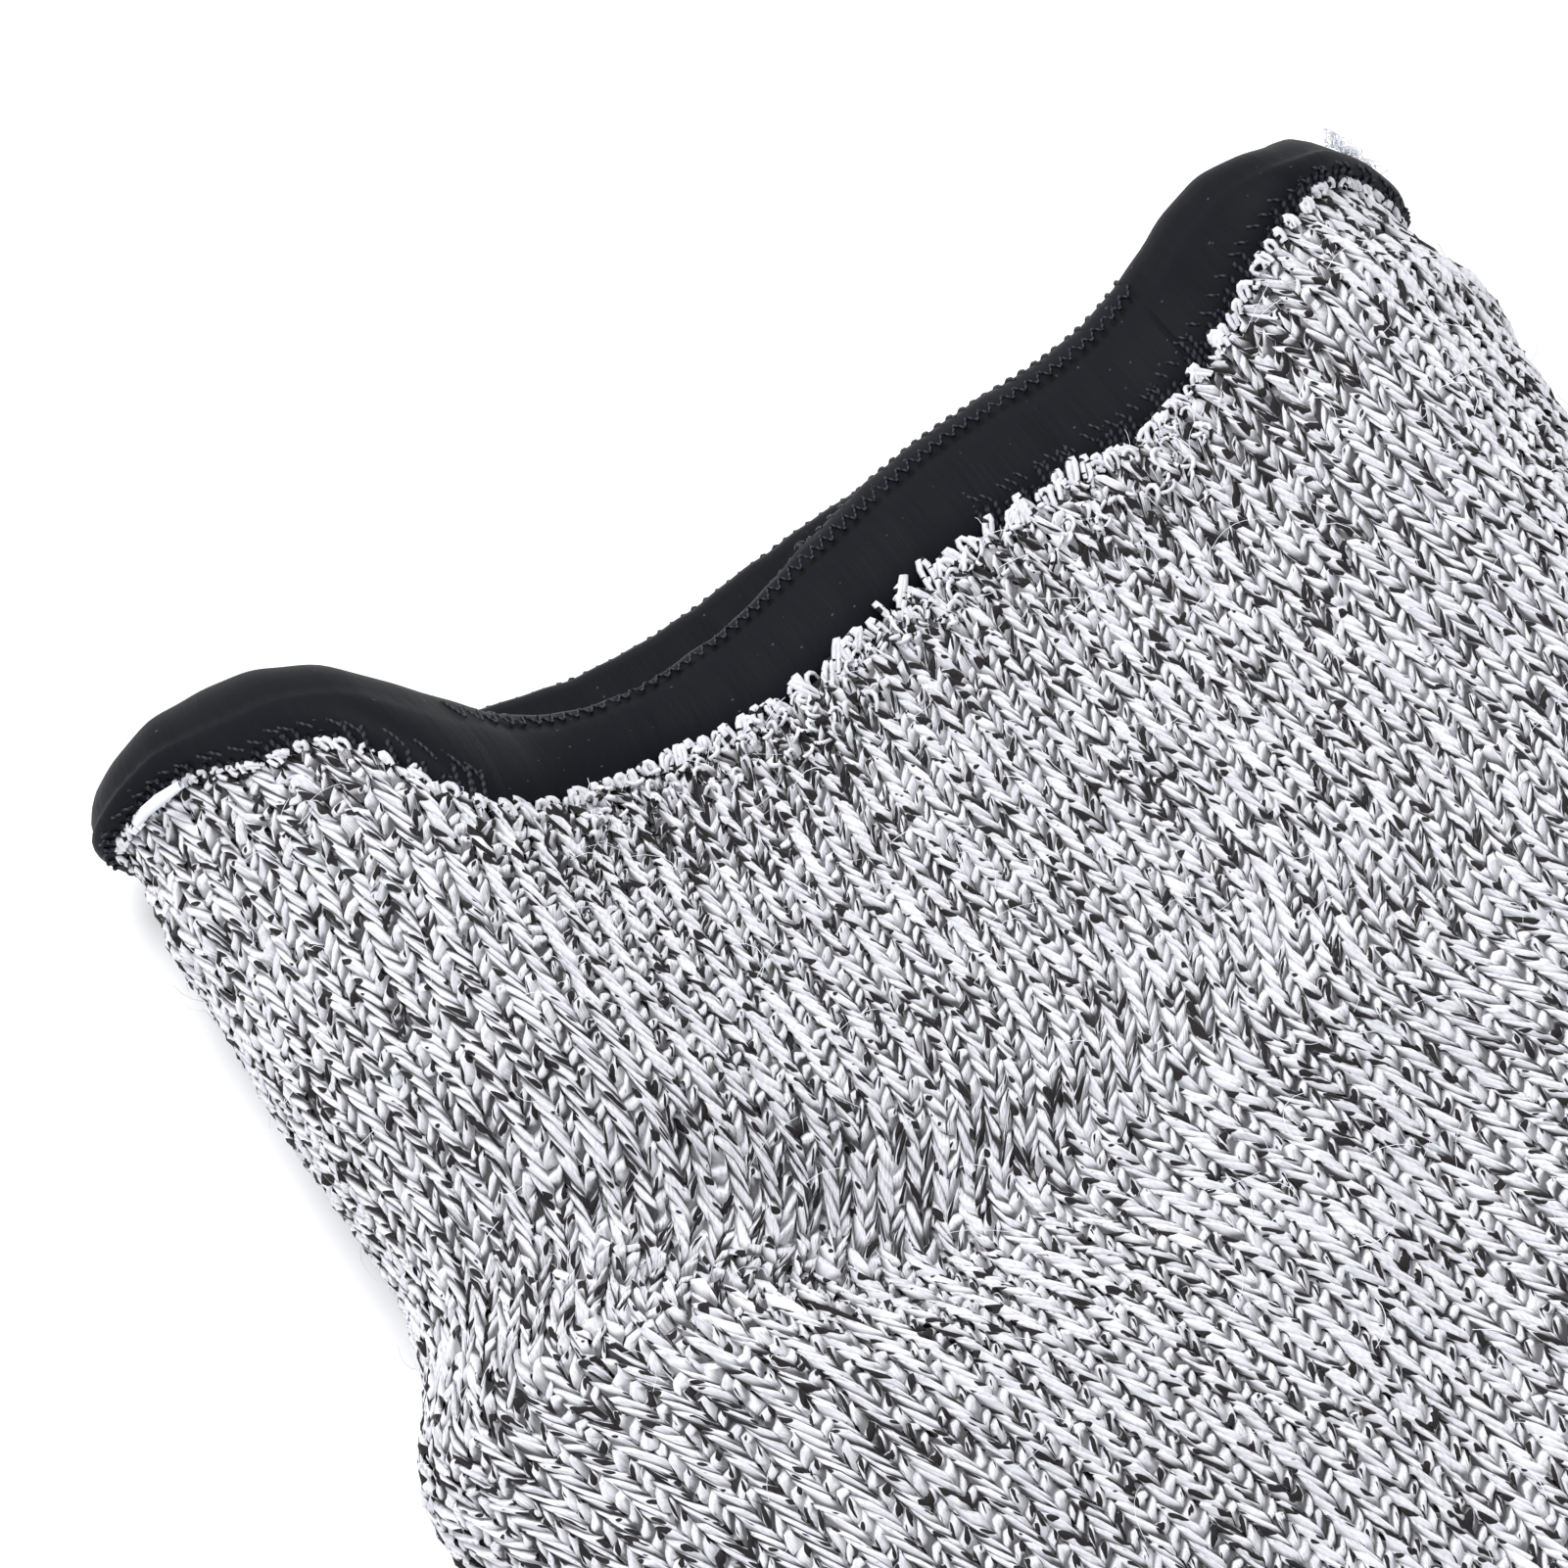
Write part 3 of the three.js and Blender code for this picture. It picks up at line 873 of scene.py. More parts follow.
    def unrolled(self, share: Grid, along: Grid, first: int, end: int) -> Grid:
        """Lay the outer face flat in the unit square, the upper layer largest.

        Args:
            share: Share of the way round.
            along: Millimetres from the wrist edge.
            first: First course of the section.
            end: Course after its last.

        Returns:
            Coordinates of each point.
        """
        # the upper layer takes the square from 0.42 up, and the lower layer a strip below it
        spare_mm, overlap = 0.5, 0.02
        low = first * self.course_mm - spare_mm
        high = (end + self.left_drop) * self.course_mm + spare_mm
        t = np.clip((along - low) / (high - low), 0, 1)
        start = self.under_from - overlap
        shown = (share > start) & (share < 1 - start)
        u = np.where(shown, (share - start) / (1 - 2 * start), (share + 0.5) % 1 / 0.36 - 0.89)
        v = np.where(shown, 0.42 + 0.57 * t, 0.21 + 0.19 * t)
        return np.stack([np.clip(u, 0.002, 0.998), v], axis=-1)


class End(Enum):
    """An end of the tube, named as its wave in the form's table."""

    WRIST = "wrist"
    UPPER = "upper"


@dataclass(frozen=True)
class StretchCloth:
    """Elastane binding tape, warp knitted with a satin face and pressed over the edge.

    Nearly black, softly lustrous, with fine ribs across it and a little lint.
    """

    face: str = "#101118"
    rib: str = "#0A0B10"
    # painted shade in the seam's needle holes
    hole_shade: str = "#020203"
    lint: str = "#3E404A"
    rib_mm: float = 0.55        # the real ribs are half as wide, too fine to show
    rib_depth_mm: float = 0.05
    hole_mm: float = 0.38
    rib_run: float = 0.12       # how slowly a rib changes along its run
    specks_per_mm: float = 0.7
    specks_from: float = 0.7    # which share of the places stays free of lint
    speck_reach: float = 0.08
    speck_edge: float = 0.02

    def material(self, stitch_mm: float, seam_at: float) -> bpy.types.Material:
        """Make the finish, read from the Tape map.

        Args:
            stitch_mm: Length of a stitch.
            seam_at: Where the seam's holes stand across the tape, in the Tape map.

        Returns:
            The material.
        """
        made, tree = new_material("satin_elastane_tape")
        place = node(tree, "UVMap", uv_map="Tape")
        stretch = node(tree, "Mapping", {"Vector": place, "Scale": (1 / self.rib_mm, self.rib_run, 1.0)})
        ribs = node(tree, "TexNoise", {"Vector": stretch, "Scale": 1.0, "Detail": 3.0, "Roughness": 0.6},
                    noise_dimensions="2D")
        specks = node(tree, "TexVoronoi", {"Vector": place, "Scale": self.specks_per_mm},
                      voronoi_dimensions="2D")
        tint = node(tree, "SeparateColor", {0: specks.outputs["Color"]})
        size = node(tree, "MapRange", {"Value": tint.outputs[0], "From Min": self.specks_from,
                                       "From Max": 1.0, "To Min": 0.0, "To Max": self.speck_reach})
        speck = node(tree, "Math", {0: size, 1: specks.outputs["Distance"]}, operation="SUBTRACT")
        lint = node(tree, "MapRange", {"Value": speck, "From Min": 0.0, "From Max": self.speck_edge})
        body = node(tree, "Mix", {"Factor": ribs, 6: linear(self.rib), 7: linear(self.face)},
                    data_type="RGBA")
        dusty = node(tree, "Mix", {"Factor": lint, 6: body, 7: linear(self.lint)}, data_type="RGBA")
        parts = node(tree, "SeparateXYZ", {0: place})
        stitch = node(tree, "Math", {0: parts.outputs[0], 1: stitch_mm, 2: 0.0}, operation="WRAP")
        aside = node(tree, "Math", {0: stitch, 1: stitch_mm / 2}, operation="SUBTRACT")
        over = node(tree, "Math", {0: parts.outputs[1], 1: seam_at}, operation="SUBTRACT")
        off = node(tree, "CombineXYZ", {0: aside, 1: over})
        reach = node(tree, "VectorMath", {0: off}, operation="LENGTH")
        # the seam's needle holes are darkened with painted shade
        hole_shade = node(tree, "MapRange", {"Value": reach, "From Min": self.hole_mm,
                                       "From Max": self.hole_mm * 0.6}, interpolation_type="SMOOTHSTEP")
        pierced = node(tree, "Mix", {"Factor": hole_shade, 6: dusty, 7: linear(self.hole_shade)}, data_type="RGBA")
        bump = node(tree, "Bump", {"Strength": 1.0, "Distance": self.rib_depth_mm * MM, "Height": ribs})
        surface = node(tree, "BsdfPrincipled", {"Base Color": pierced, "Roughness": 0.6,
                                                "Specular IOR Level": 0.1, "Sheen Weight": 0.03,
                                                "Sheen Roughness": 0.4, "Normal": bump})
        node(tree, "OutputMaterial", {"Surface": surface})
        return made


@dataclass(frozen=True)
class SewingThread:
    """Spun polyester sewing thread, dyed black: a shade lighter than the tape, twisted."""

    colour: str = "#3B3D46"
    shade: str = "#0C0C10"
    twist_mm: float = 0.5       # the real twist is a third of this, too fine to show

    def material(self) -> bpy.types.Material:
        """Make the finish, read from the Strand map.

        Returns:
            The material.
        """
        made, tree = new_material("spun_polyester_thread")
        place = node(tree, "UVMap", uv_map="Strand")
        parts = node(tree, "SeparateXYZ", {0: place})
        turn = node(tree, "Math", {0: parts.outputs[0], 1: 1 / self.twist_mm, 2: parts.outputs[1]},
                    operation="MULTIPLY_ADD")
        phase = node(tree, "Math", {0: turn, 1: 2 * math.pi}, operation="MULTIPLY")
        wave = node(tree, "Math", {0: phase}, operation="SINE")
        share = node(tree, "Math", {0: wave, 1: 0.5, 2: 0.5}, operation="MULTIPLY_ADD")
        colour = node(tree, "Mix", {"Factor": share, 6: linear(self.shade), 7: linear(self.colour)},
                      data_type="RGBA")
        surface = node(tree, "BsdfPrincipled", {"Base Color": colour, "Roughness": 0.5,
                                                "Specular IOR Level": 0.15})
        node(tree, "OutputMaterial", {"Surface": surface})
        return made


@dataclass
class StretchBinding:
    """The tape folded over an edge, with its seams and the yarn loops that creep onto it."""

    form: SleeveForm
    cloth: StretchCloth
    thread: SewingThread
    yarn: MarledYarn
    end: End
    stitch_mm: float = 0.95
    columns_per_stitch: int = 2
    rows: int = 32
    seam_row: float = 0.455     # where the rim seam runs across the tape
    low_row: float = 0.17       # where the lower seam runs
    seam_from: float = -0.60    # the rim seam rolls out of sight beyond these places across
    seam_to: float = 0.56
    low_until: float = -0.62    # the lower seam shows up to here at the left fold
    low_from: float = 0.18      # and from here on at the right one
    plain_crest: float = 0.7    # how far the rim stands out where it isn't rolled
    trough_rows: float = 0.03    # how much lower the rim seam runs in the trough
    off_seam_mm: float = 100.0    # how far the map moves off the seam's holes where it is rolled away
    map_mm: float = 24.0        # the tape's whole width in its map
    fold_mm: float = 3.0        # how much of the tape's width its fold takes
    lower_edge: int = 3         # how fast the lower layer's depth changes towards the folds
    lower_crest: int = 10       # the same for its rim
    probe: float = 0.01         # rows to each side from which the tape's slope is read
    pull_mm: float = 0.14       # how deep the rim seam pulls the tape in
    pull_reach: float = 0.035    # and how far across, in rows
    swell_mm: float = 0.10      # slow swelling of the tape, and how often round the rim
    swells: tuple[int, ...] = (23, 37, 61)
    rim_thread_mm: float = 0.17    # the thread over the rim: radius, play and lean in stitches
    rim_waver: float = 0.07
    rim_lean: float = 0.4
    rim_rows: tuple[float, float] = (0.07, 0.12)    # where it starts past the seam, and its run
    zigzag_mm: float = 0.085
    zigzag_rows: tuple[float, float] = (0.010, 0.026)
    dash_mm: float = 0.11       # the lower seam's dashes: radius, play, then start and run in stitches
    dash_waver: float = 0.2
    dash_run: tuple[float, float] = (0.2, 0.55)
    dash_slant: float = 0.05    # rows
    overlock_mm: float = 0.17
    overlock_half: float = 0.34    # half a loop's width, in stitches
    overlock_rows: tuple[float, float] = (0.06, 0.16)    # how far the loops reach up the tape
    loop_every_mm: float = 0.7
    loop_reach_mm: float = 0.95
    loop_foot_mm: tuple[float, float] = (0.8, 1.9)    # how far below the tape a loop is rooted
    loop_half_mm: tuple[float, float] = (0.12, 0.42)
    loop_lean_mm: float = 0.8
    loop_yarn_mm: tuple[float, float] = (0.18, 0.28)
    curl_mm: tuple[float, float] = (0.35, 0.75)
    curl_turn: tuple[float, float] = (2.0, 4.2)    # radians
    curl_yarn_mm: tuple[float, float] = (0.12, 0.20)
    curls: int = 190
    curls_reach: float = 5.0
    curls_share: tuple[float, float] = (0.36, 0.62)    # the part of the way round that is gathered
    knot_angle: float = 1.593   # where a knot of thread sits on the wrist rim
    knot_row: float = 0.57
    # across the tape, from its lower edge over the rim to the inner edge: share of the depth or
    # millimetres past the rim, and height over the knit's outer face
    profile: Table = field(default_factory=lambda: columns(
        "row depth past height",
        (0.00, 0.97, 0.0, -0.25), (0.03, 1.02, 0.0, 0.15), (0.08, 0.98, 0.0, 0.75),
        (0.16, 0.83, 0.0, 1.35), (0.26, 0.60, 0.0, 1.68), (0.36, 0.33, 0.0, 1.72),
        (0.44, 0.12, 0.0, 1.50), (0.50, 0.00, 0.9, 1.05), (0.56, 0.00, 2.15, 0.10),
        (0.60, 0.00, 2.50, -0.90), (0.64, 0.00, 2.15, -1.90), (0.70, 0.00, 0.8, -2.80),
        (0.80, 0.25, 0.0, -3.10), (0.92, 0.70, 0.0, -3.05), (1.00, 0.92, 0.0, -2.20)))
    # wrist and upper: how much of the tape's depth shows, as the knit creeps over it at the folds;
    # crest: how far the wrist tape stands past the rim; creep: how far the loops reach onto it
    shown: Table = field(default_factory=lambda: columns(
        "across wrist upper crest creep",
        (-1.00, 0.22, 0.90, 1.1, 0.1), (-0.90, 0.33, 0.95, 1.2, 0.1), (-0.82, 0.53, 1.00, 1.3, 0.2),
        (-0.74, 0.57, 1.00, 1.5, 0.2), (-0.69, 0.86, 1.00, 1.6, 0.0), (-0.65, 1.18, 1.00, 1.6, -0.3),
        (-0.61, 1.22, 1.00, 1.55, -0.5), (-0.56, 1.08, 1.00, 1.2, -0.5), (-0.50, 0.92, 1.00, 0.8, -0.3),
        (-0.44, 0.83, 1.00, 0.45, 0.0), (-0.35, 0.78, 1.00, 0.2, 0.3), (-0.25, 0.89, 1.00, 0.2, 0.7),
        (-0.15, 0.98, 1.00, 0.2, 0.8), (0.05, 0.94, 1.00, 0.8, 0.9), (0.30, 0.93, 1.00, 1.0, 0.9),
        (0.50, 0.95, 1.00, 1.0, 0.6), (0.68, 0.74, 1.00, 1.1, 0.3), (0.77, 0.48, 0.98, 1.1, 0.1),
        (0.84, 0.28, 0.95, 1.15, 0.1), (0.92, 0.22, 0.92, 1.4, 0.1), (1.00, 0.24, 0.90, 1.6, 0.0)))

    def __post_init__(self) -> None:
        """Work out the length of the rim."""
        self.rng = np.random.default_rng(SEED + len(self.end.value))
        self.edge = 0.0 if self.end is End.WRIST else self.form.length
        self.round_mm = float(np.interp(self.edge, self.form.share_rows, self.form.rounds))
        self.stitches = int(self.round_mm / self.stitch_mm)

    def name(self, piece: str) -> str:
        """Name a piece of this end."""
        return f"{self.end.value}_{piece}"

    def share_at(self, angle: float) -> float:
        """Share of the way round that stands at an angle on this end's rim."""
        angles = self.form.angle_map[0 if self.end is End.WRIST else -1]
        return float(np.interp(angle, angles, np.linspace(0, 1, len(angles))))

    def angle(self, share: Grid) -> Grid:
        """Angle on this end's rim at a share of the way round, as in the form's raw_face."""
        return self.form.angle_at(share, self.edge + 0 * share)

    def across(self, share: Grid) -> Grid:
        """Place across the sleeve, from -1 at the left fold to 1 at the right one."""
        return np.cos(self.angle(share))

    def depth(self, share: Grid) -> Grid:
        """Give the depth of the tape that shows.

        Args:
            share: Share of the way round.

        Returns:
            The depths, in millimetres.
        """
        angle = self.angle(share)
        upper = through(self.shown, "across", self.end.value, np.cos(angle))
        ends = np.where(np.cos(angle) < 0, self.shown[self.end.value][0], self.shown[self.end.value][-1])
        lower = 1 - (1 - ends) * np.abs(np.cos(angle)) ** self.lower_edge
        return self.form.band_depth * np.where(np.sin(angle) >= 0, upper, lower)

    def crest(self, share: Grid) -> Grid:
        """Say how far the rim stands out.

        Args:
            share: Share of the way round.

        Returns:
            Shares of the profile's own reach.
        """
        angle = self.angle(share)
        if self.end is End.UPPER:
            return self.plain_crest + 0 * angle
        across, crest = np.cos(angle), self.shown["crest"]
        ends = np.where(across < 0, crest[0], crest[-1])
        lower = self.plain_crest + (ends - self.plain_crest) * np.abs(across) ** self.lower_crest
        return np.where(np.sin(angle) >= 0, through(self.shown, "across", "crest", across), lower)

    def rolled(self, share: Grid) -> Grid:
        """Say where the rim seam is rolled out of sight.

        Args:
            share: Share of the way round.

        Returns:
            True where it is.
        """
        angle = self.angle(share)
        return (self.end is End.WRIST) & (np.sin(angle) > -0.1) & (
            (np.cos(angle) < self.seam_from) | (np.cos(angle) > self.seam_to))

    def sunk(self, share: Grid) -> Grid:
        """Say how much lower the rim seam runs in the wrist's trough, where the mouth shows.

        Args:
            share: Share of the way round.

        Returns:
            Shares of the tape's rows.
        """
        angle = self.angle(share)
        trough = smoothstep(-np.cos(angle), -0.25, 0.05) * (np.sin(angle) > 0) * (self.end is End.WRIST)
        return self.trough_rows * trough

    def place(self, share: Grid, inward: Grid, height: Grid) -> tuple[Grid, Grid]:
        """Points near this end.

        Args:
            share: Share of the way round.
            inward: Millimetres from the knit's edge into the sleeve.
            height: Millimetres over the knit's outer face.

        Returns:
            Points and their outward directions.
        """
        share, inward, height = np.broadcast_arrays(share, inward, height)
        along = inward if self.end is End.WRIST else self.form.length - inward
        points, outward, _ = self.form.surface(along, self.angle(share))
        points = points + outward * height[..., None]
        points[..., 2] = np.maximum(points[..., 2], 0.0)
        return points, outward

    def on_tape(self, share: Grid, row: Grid, lift: Grid | float = 0.0) -> tuple[Grid, Grid]:
        """Points on the tape's face.

        Args:
            share: Share of the way round.
            row: Place across the tape, from 0 at its lower edge to 1 at the inner one.
            lift: Millimetres off the face.

        Returns:
            Points and their outward directions.
        """
        share, row = np.broadcast_arrays(share, row)
        (x0, h0), (x1, h1) = self.fold(share, row - self.probe), self.fold(share, row + self.probe)
        inward, height = self.fold(share, row)
        size = np.maximum(np.hypot(x1 - x0, h1 - h0), 1e-9)
        inward = inward + (h1 - h0) / size * lift
        height = height - (x1 - x0) / size * lift
        return self.place(share, inward, height)

    def fold(self, share: Grid, row: Grid) -> tuple[Grid, Grid]:
        """Read where the folded tape stands.

        Args:
            share: Share of the way round.
            row: Place across the tape; past an edge it stays at the edge.

        Returns:
            Millimetres from the knit's edge into the sleeve, and over the knit's outer face.
        """
        row = np.clip(row, 0, 1)
        inward = through(self.profile, "row", "depth", row) * self.depth(share)
        inward = inward - through(self.profile, "row", "past", row) * self.crest(share)
        return inward, through(self.profile, "row", "height", row)

    def build(self) -> list[bpy.types.Object]:
        """Make the tape, its seams and the loops of yarn on its lower edge.

        Returns:
            The pieces.
        """
        tape, thread = self.build_tape(), self.thread.material()
        seams = [self.build_rim_seam(thread), self.build_low_seam(thread), self.build_loops()]
        wide = float(self.depth(np.linspace(0, 1, 97)).mean()) * 2 + self.form.wall + self.fold_mm
        return [tape, *seams]

    def build_tape(self) -> bpy.types.Object:
        """Make the folded tape.

        Returns:
            The piece.
        """
        parts = MeshParts()
        count = self.stitches * self.columns_per_stitch
        share = (np.arange(count + 1) / count)[None, :]
        row = np.linspace(0, 1, self.rows)[:, None]
        number = np.arange(count + 1)[None, :] / self.columns_per_stitch
        seam = row + self.sunk(share)
        pull = np.exp(-((seam - self.seam_row) / self.pull_reach) ** 2)
        pull = pull * (0.6 + 0.4 * np.cos(2 * math.pi * number))
        waves = [np.sin(2 * math.pi * (turns * share + self.rng.random())) for turns in self.swells]
        slow = sum(wave / len(waves) for wave in waves)
        lift = self.swell_mm * slow * np.sin(np.pi * row) - self.pull_mm * pull
        points, _ = self.on_tape(share, row, lift)
        points[:, -1] = points[:, 0]
        # the seam's holes are drawn on its row, so the map moves off it where the rim is rolled
        aside = self.rolled(share) * self.off_seam_mm
        tape = np.stack(np.broadcast_arrays(number * self.stitch_mm, seam * self.map_mm + aside), axis=-1)
        bake = np.stack(np.broadcast_arrays(0.002 + 0.996 * share, 0.01 + 0.98 * row), axis=-1)
        parts.add_grid(points, {"OFBake": bake, "Tape": tape}, flip=self.end is End.UPPER)
        material = self.cloth.material(self.stitch_mm, self.seam_row * self.map_mm)
        return parts.build(self.name("tape"), material, self.name("binding"))

    def build_rim_seam(self, material: bpy.types.Material) -> bpy.types.Object:
        """Make the seam along the rim: a thread over the rim and a zigzag at each stitch.

        Args:
            material: The thread's finish.

        Returns:
            The piece.
        """
        parts = MeshParts()
        number = np.arange(self.stitches)
        number = number[~self.rolled((number + 0.5) / self.stitches)][:, None]
        t = np.linspace(0, 1, 6)[None, :]
        waver = self.rng.normal(0, self.rim_waver, (len(number), 1))
        over = (number + 0.5 + waver + self.rim_lean * (t - 0.5)) / self.stitches
        sunk = self.sunk((number + 0.5) / self.stitches)
        start, run = self.rim_rows
        row = self.seam_row + start + t * run
        points, outward = self.on_tape(over, row, 0.08 * np.sin(np.pi * t) ** 0.6 - 0.06)
        radius = self.rim_thread_mm * np.sin(np.pi * (0.06 + 0.88 * t)) ** 0.5
        strands(parts, points, outward, radius, 5)
        t = np.linspace(0, 1, 4)[None, :]
        start, run = self.zigzag_rows
        for side in (-1, 1):
            along = (number + 0.5 + side * 0.5 * t + waver) / self.stitches
            row = self.seam_row + start - sunk + (run + 0.8 * sunk) * t
            points, outward = self.on_tape(along, row, 0.01 + sunk)
            strands(parts, points, outward, self.zigzag_mm, 5)
        if self.end is End.WRIST:
            knot = np.array([[0.12, 0.34, 0.40, 0.34, 0.12]])
            reach = np.linspace(-0.4, 0.4, knot.size)[None, :]
            along = self.share_at(self.knot_angle) + reach / self.round_mm
            points, outward = self.on_tape(along, self.knot_row + 0 * along, 0.15)
            strands(parts, points, outward, knot, 7)
        return parts.build(self.name("rim_seam"), material, self.name("binding"))

    def build_low_seam(self, material: bpy.types.Material) -> bpy.types.Object:
        """Make the seam that shows by the lower edge at the folds, and the overlocked edge.

        Args:
            material: The thread's finish.

        Returns:
            The piece.
        """
        parts = MeshParts()
        number = np.arange(self.stitches)
        across = self.across((number + 0.5) / self.stitches)
        shows = (across < self.low_until) | (across > self.low_from) | (self.end is End.UPPER)
        there = number[shows][:, None]
        t = np.linspace(0, 1, 5)[None, :]
        waver = self.rng.normal(0, self.dash_waver, (len(there), 1))
        start, run = self.dash_run
        along = (there + start + waver + run * t) / self.stitches
        row = self.low_row + self.rng.normal(0, 0.012, waver.shape) + self.dash_slant * (t - 0.5)
        points, outward = self.on_tape(along, row, 0.09 * np.sin(np.pi * t) - 0.05)
        strands(parts, points, outward, self.dash_mm, 5)
        along = (there + 0.5 + self.overlock_half * np.cos(np.pi * t) + waver) / self.stitches
        deep = self.rng.uniform(*self.overlock_rows, waver.shape)
        points, outward = self.on_tape(along, deep + 0.02 - (deep + 0.01) * np.sin(np.pi * t), 0.14)
        strands(parts, points, outward, self.overlock_mm, 5)
        return parts.build(self.name("low_seam"), material, self.name("binding"))

    def build_loops(self) -> bpy.types.Object:
        """Make the knit's gathered loops that creep over the tape's lower edge.

        Returns:
            The piece.
        """
        parts = MeshParts()
        count = int(self.round_mm / self.loop_every_mm)
        share = (np.arange(count) + self.rng.uniform(-0.45, 0.45, count))[:, None] / count
        t = np.linspace(0, 1, 8)[None, :]
        creep = through(self.shown, "across", "creep", self.across(share))
        reach = self.loop_reach_mm * creep * self.rng.random((count, 1)) ** 1.6 - 0.15
        bunched = self.form.bunched(self.across(share))
        foot = self.rng.uniform(*self.loop_foot_mm, (count, 1)) * (0.45 + 0.55 * bunched)
        wide = self.rng.uniform(*self.loop_half_mm, (count, 1))
        lean = self.rng.normal(0, self.loop_lean_mm, (count, 1)) * (0.3 + 0.7 * bunched)
        depth = self.depth(share)
        bow = np.sin(np.pi * t)
        inward = depth + foot - (foot + reach) * bow
        lateral = wide * np.cos(np.pi * t) * (0.55 + bow) + lean * bow
        height = 0.25 + (0.35 + 0.4 * bunched + 0.75 * np.clip(reach, 0, 1)) * bow ** 0.8
        points, outward = self.place(share + lateral / self.round_mm, inward, height)
        radius = self.rng.uniform(*self.loop_yarn_mm, (count, 1)) * (0.7 + 0.3 * bow)
        strands(parts, points, outward, radius, 6)
        self.add_curls(parts)
        return parts.build(self.name("edge_loops"), self.yarn.loose(), "knit_tube")

    def add_curls(self, parts: MeshParts) -> None:
        """Add the small curled stitches of the gathered knit, just inside the tape.

        Args:
            parts: The mesh in the making.
        """
        count = self.curls
        share = self.rng.uniform(*self.curls_share, (count, 1))
        inside = 0.3 + self.rng.random((count, 1)) ** 1.5 * self.curls_reach
        size = self.rng.uniform(*self.curl_mm, (count, 1))
        start = self.rng.uniform(0, 2 * math.pi, (count, 1))
        t = np.linspace(0, 1, 7)[None, :]
        turn = start + t * self.rng.uniform(*self.curl_turn, (count, 1))
        inward = self.depth(share) + inside + size * np.cos(turn)
        lateral = size * 0.8 * np.sin(turn)
        height = 0.1 + 0.75 * np.sin(np.pi * t) ** 0.7 + 0 * turn
        points, outward = self.place(share + lateral / self.round_mm, inward, height)
        radius = self.rng.uniform(*self.curl_yarn_mm, (count, 1)) * np.sin(np.pi * (0.1 + 0.8 * t)) ** 0.5
        strands(parts, points, outward, radius, 5)


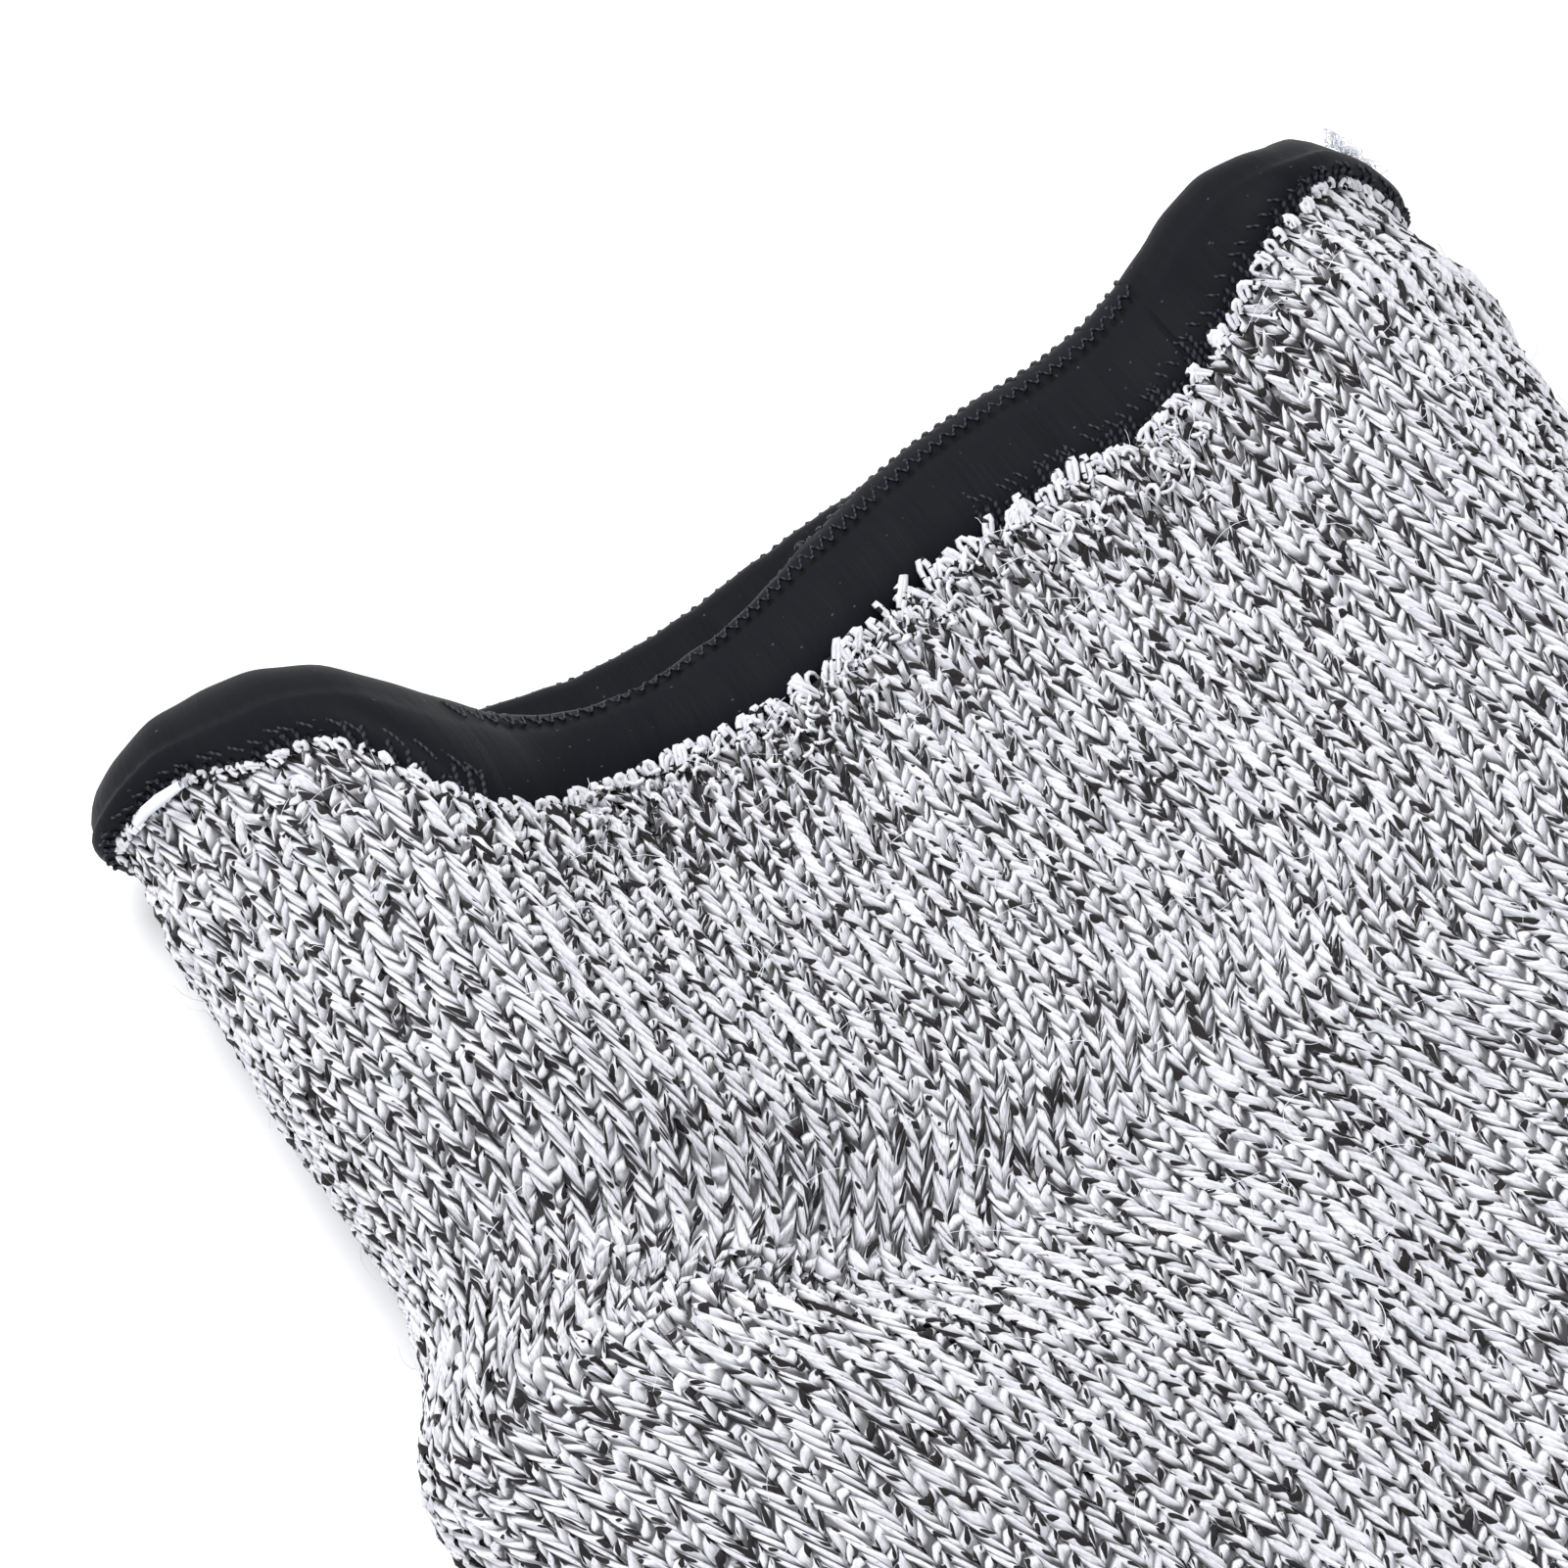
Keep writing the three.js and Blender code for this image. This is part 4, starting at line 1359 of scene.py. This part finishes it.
@dataclass
class LooseFibres:
    """What stands off the knit: single filaments, a yarn end and a tuft of fluff."""

    form: SleeveForm
    yarn: MarledYarn
    wrist: StretchBinding
    filaments: int = 900
    filament_mm: float = 0.022
    # millimetres from the wrist edge, and angle, of each point of the yarn end
    end_at: tuple[tuple[float, float], ...] = ((4.0, 2.68), (3.8, 2.75), (3.6, 2.81), (3.7, 2.86))
    tuft_at: tuple[float, float] = (0.37, 0.50)    # angle, and row across the tape
    tuft_filaments: int = 90
    end_lift_mm: float = 1.9    # how far the yarn end lies over the knit's face, on the tape
    tuft_mm: float = 0.034
    tuft_spread_mm: float = 0.7
    least_height_mm: float = 0.05

    def build(self) -> list[bpy.types.Object]:
        """Make the pieces.

        Returns:
            The pieces.
        """
        self.rng = np.random.default_rng(SEED + 9)
        self.white = self.yarn.filament()
        made = [self.build_filaments(), self.build_yarn_end(), self.build_tuft()]
        return made

    def wisps(self, points: Grid, outward: Grid, length: Grid, lift: Grid) -> tuple[Grid, Grid]:
        """Draw curved paths that leave a face and come back near it.

        Args:
            points: Where they start.
            outward: The face's directions there.
            length: Their lengths, in millimetres.
            lift: How far they stand off.

        Returns:
            The paths and a direction across each point's run.
        """
        count = len(points)
        aside = unit(np.cross(outward, (1.0, 0.0, 0.0)))
        ahead = np.cross(aside, outward)
        turn = self.rng.uniform(0, 2 * math.pi, count)[:, None]
        curl = self.rng.normal(0, 0.7, count)[:, None]
        t = np.linspace(0, 1, 6)[None, :]
        bearing = turn + curl * t * 2
        step = length[:, None] / (t.size - 1)
        forth, over = np.cumsum(np.cos(bearing) * step, axis=1), np.cumsum(np.sin(bearing) * step, axis=1)
        height = 0.15 + lift[:, None] * np.sin(np.pi * t * 0.8)
        path = (points[:, None] + ahead[:, None] * forth[..., None] + aside[:, None] * over[..., None]
                + outward[:, None] * height[..., None])
        path[..., 2] = np.maximum(path[..., 2], self.least_height_mm)
        return path, np.broadcast_to(outward[:, None], path.shape)

    def build_filaments(self) -> bpy.types.Object:
        """Make the filaments that stand off all over.

        Returns:
            The piece.
        """
        parts, count, band = MeshParts(), self.filaments, self.form.band_depth
        along = band + (self.form.length - 2 * band) * self.rng.random(count) ** 1.8
        angle = self.form.angle_at(self.rng.uniform(0.14, 0.86, count), along)
        points, outward, _ = self.form.surface(along, angle)
        paths, outward = self.wisps(points, outward, self.rng.uniform(1.5, 4.5, count),
                                    self.rng.uniform(0.3, 1.1, count))
        radius = self.filament_mm * self.rng.uniform(0.7, 1.3, (count, 1))
        strands(parts, paths, outward, radius, 3)
        return parts.build("loose_filaments", self.white, "knit_tube")

    def build_yarn_end(self) -> bpy.types.Object:
        """Make the short end of yarn that lies on the wrist tape at the left fold.

        Returns:
            The piece.
        """
        parts = MeshParts()
        along, angle = np.array(self.end_at).T
        points, outward, _ = self.form.surface(along, angle)
        points = points + outward * self.end_lift_mm
        radius = np.array([[0.30, 0.42, 0.40, 0.22]])
        strands(parts, points[None], outward[None], radius, 8)
        return parts.build("yarn_end", self.white, "knit_tube")

    def build_tuft(self) -> bpy.types.Object:
        """Make the tuft of fluff on the wrist rim at the right fold.

        Returns:
            The piece.
        """
        parts, count = MeshParts(), self.tuft_filaments
        angle, row = self.tuft_at
        spread = self.rng.normal(0, self.tuft_spread_mm, count)
        share = self.wrist.share_at(angle) + spread / self.wrist.round_mm
        points, outward = self.wrist.on_tape(share, row + self.rng.normal(0, 0.02, count))
        paths, outward = self.wisps(points, outward, self.rng.uniform(0.8, 1.8, count),
                                    self.rng.uniform(0.2, 0.8, count))
        strands(parts, paths, outward, self.tuft_mm, 3)
        return parts.build("fluff_tuft", self.white, "knit_tube")


@dataclass(frozen=True)
class Lamp:
    """A square area light: its place from the sleeve and its size in metres, its power in watts."""

    name: str
    place: tuple[float, float, float]
    size: float
    power: float


@dataclass
class Studio:
    """Pale floor, soft light and the camera at the photo's angle."""

    form: SleeveForm
    azimuth: float = 59.0
    elevation: float = 60.0
    distance_mm: float = 700.0
    frame_mm: float = 100.9     # width of the photo's frame at the sleeve
    aim_mm: tuple[float, float, float] = (16.3, -7.0, 0.0)
    floor: str = "#FDFDFE"
    sky: str = "#F8F9FB"
    sky_strength: float = 0.80
    floor_reach: float = 6.0    # metres
    floor_drop: float = 0.0002
    sensor_mm: float = 36.0
    clip: tuple[float, float] = (0.01, 20.0)
    lamps: tuple[Lamp, ...] = (Lamp("key", (-1.1, -0.3, 2.2), 1.3, 46.0),
                               Lamp("fill", (0.5, -1.6, 1.7), 1.6, 13.0))

    def build(self) -> None:
        """Make the floor, the lights, the world and the camera."""
        aim = Vector((np.array(self.aim_mm) + self.form.shift) * MM)
        self.make_floor()
        self.make_lights(aim)
        self.make_camera(aim)
        bpy.context.scene.view_settings.view_transform = "Standard"

    def make_floor(self) -> None:
        """Make a wide pale floor, just under the sleeve."""
        mesh = bpy.data.meshes.new("floor")
        corners = [(x * self.floor_reach, y * self.floor_reach, -self.floor_drop)
                   for x, y in ((-1, -1), (1, -1), (1, 1), (-1, 1))]
        mesh.from_pydata(corners, [], [(0, 1, 2, 3)])
        floor = bpy.data.objects.new("floor", mesh)
        bpy.context.scene.collection.objects.link(floor)
        made, tree = new_material("matt_white_floor")
        surface = node(tree, "BsdfPrincipled", {"Base Color": linear(self.floor), "Roughness": 0.9})
        node(tree, "OutputMaterial", {"Surface": surface})
        mesh.materials.append(made)

    def make_lights(self, aim: Vector) -> None:
        """Set large soft lights over a bright world.

        Args:
            aim: Where the lights point.
        """
        world = bpy.data.worlds.new("studio")
        world.use_nodes = True
        background = world.node_tree.nodes["Background"]
        background.inputs["Color"].default_value = linear(self.sky)
        background.inputs["Strength"].default_value = self.sky_strength
        bpy.context.scene.world = world
        for lamp in self.lamps:
            light = bpy.data.lights.new(lamp.name, "AREA")
            light.shape = "SQUARE"
            light.size = lamp.size
            light.energy = lamp.power
            made = bpy.data.objects.new(lamp.name, light)
            made.location = aim + Vector(lamp.place)
            made.rotation_euler = (aim - made.location).to_track_quat("-Z", "Y").to_euler()
            bpy.context.scene.collection.objects.link(made)

    def make_camera(self, aim: Vector) -> None:
        """Set a long lens at the photo's angle.

        Args:
            aim: Where the camera points.
        """
        a, e = math.radians(self.azimuth), math.radians(self.elevation)
        back = Vector((math.sin(a) * math.cos(e), -math.cos(a) * math.cos(e), math.sin(e)))
        data = bpy.data.cameras.new("camera")
        data.sensor_width = self.sensor_mm
        data.lens = data.sensor_width * self.distance_mm / self.frame_mm
        data.clip_start, data.clip_end = self.clip
        camera = bpy.data.objects.new("camera", data)
        camera.location = aim + back * self.distance_mm * MM
        camera.rotation_euler = (-back).to_track_quat("-Z", "Y").to_euler()
        bpy.context.scene.collection.objects.link(camera)
        bpy.context.scene.camera = camera


def main() -> None:
    """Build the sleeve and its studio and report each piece."""
    logging.basicConfig(level=logging.INFO, format="%(name)s %(message)s")
    form = SleeveForm()
    yarn = MarledYarn()
    tube = KnitTube(form, yarn)
    sections, inner = tube.build(), tube.build_inner()
    bindings = [StretchBinding(form, StretchCloth(), SewingThread(), yarn, end) for end in End]
    bound = [piece for binding in bindings for piece in binding.build()]
    fibres = LooseFibres(form, yarn, bindings[0]).build()
    for piece in (*sections, inner, *bound, *fibres):
        LOG.info("%s: %d faces, %s", piece.name, len(piece.data.polygons), piece.active_material.name)
    Studio(form).build()


if __name__ == "__main__":
    main()
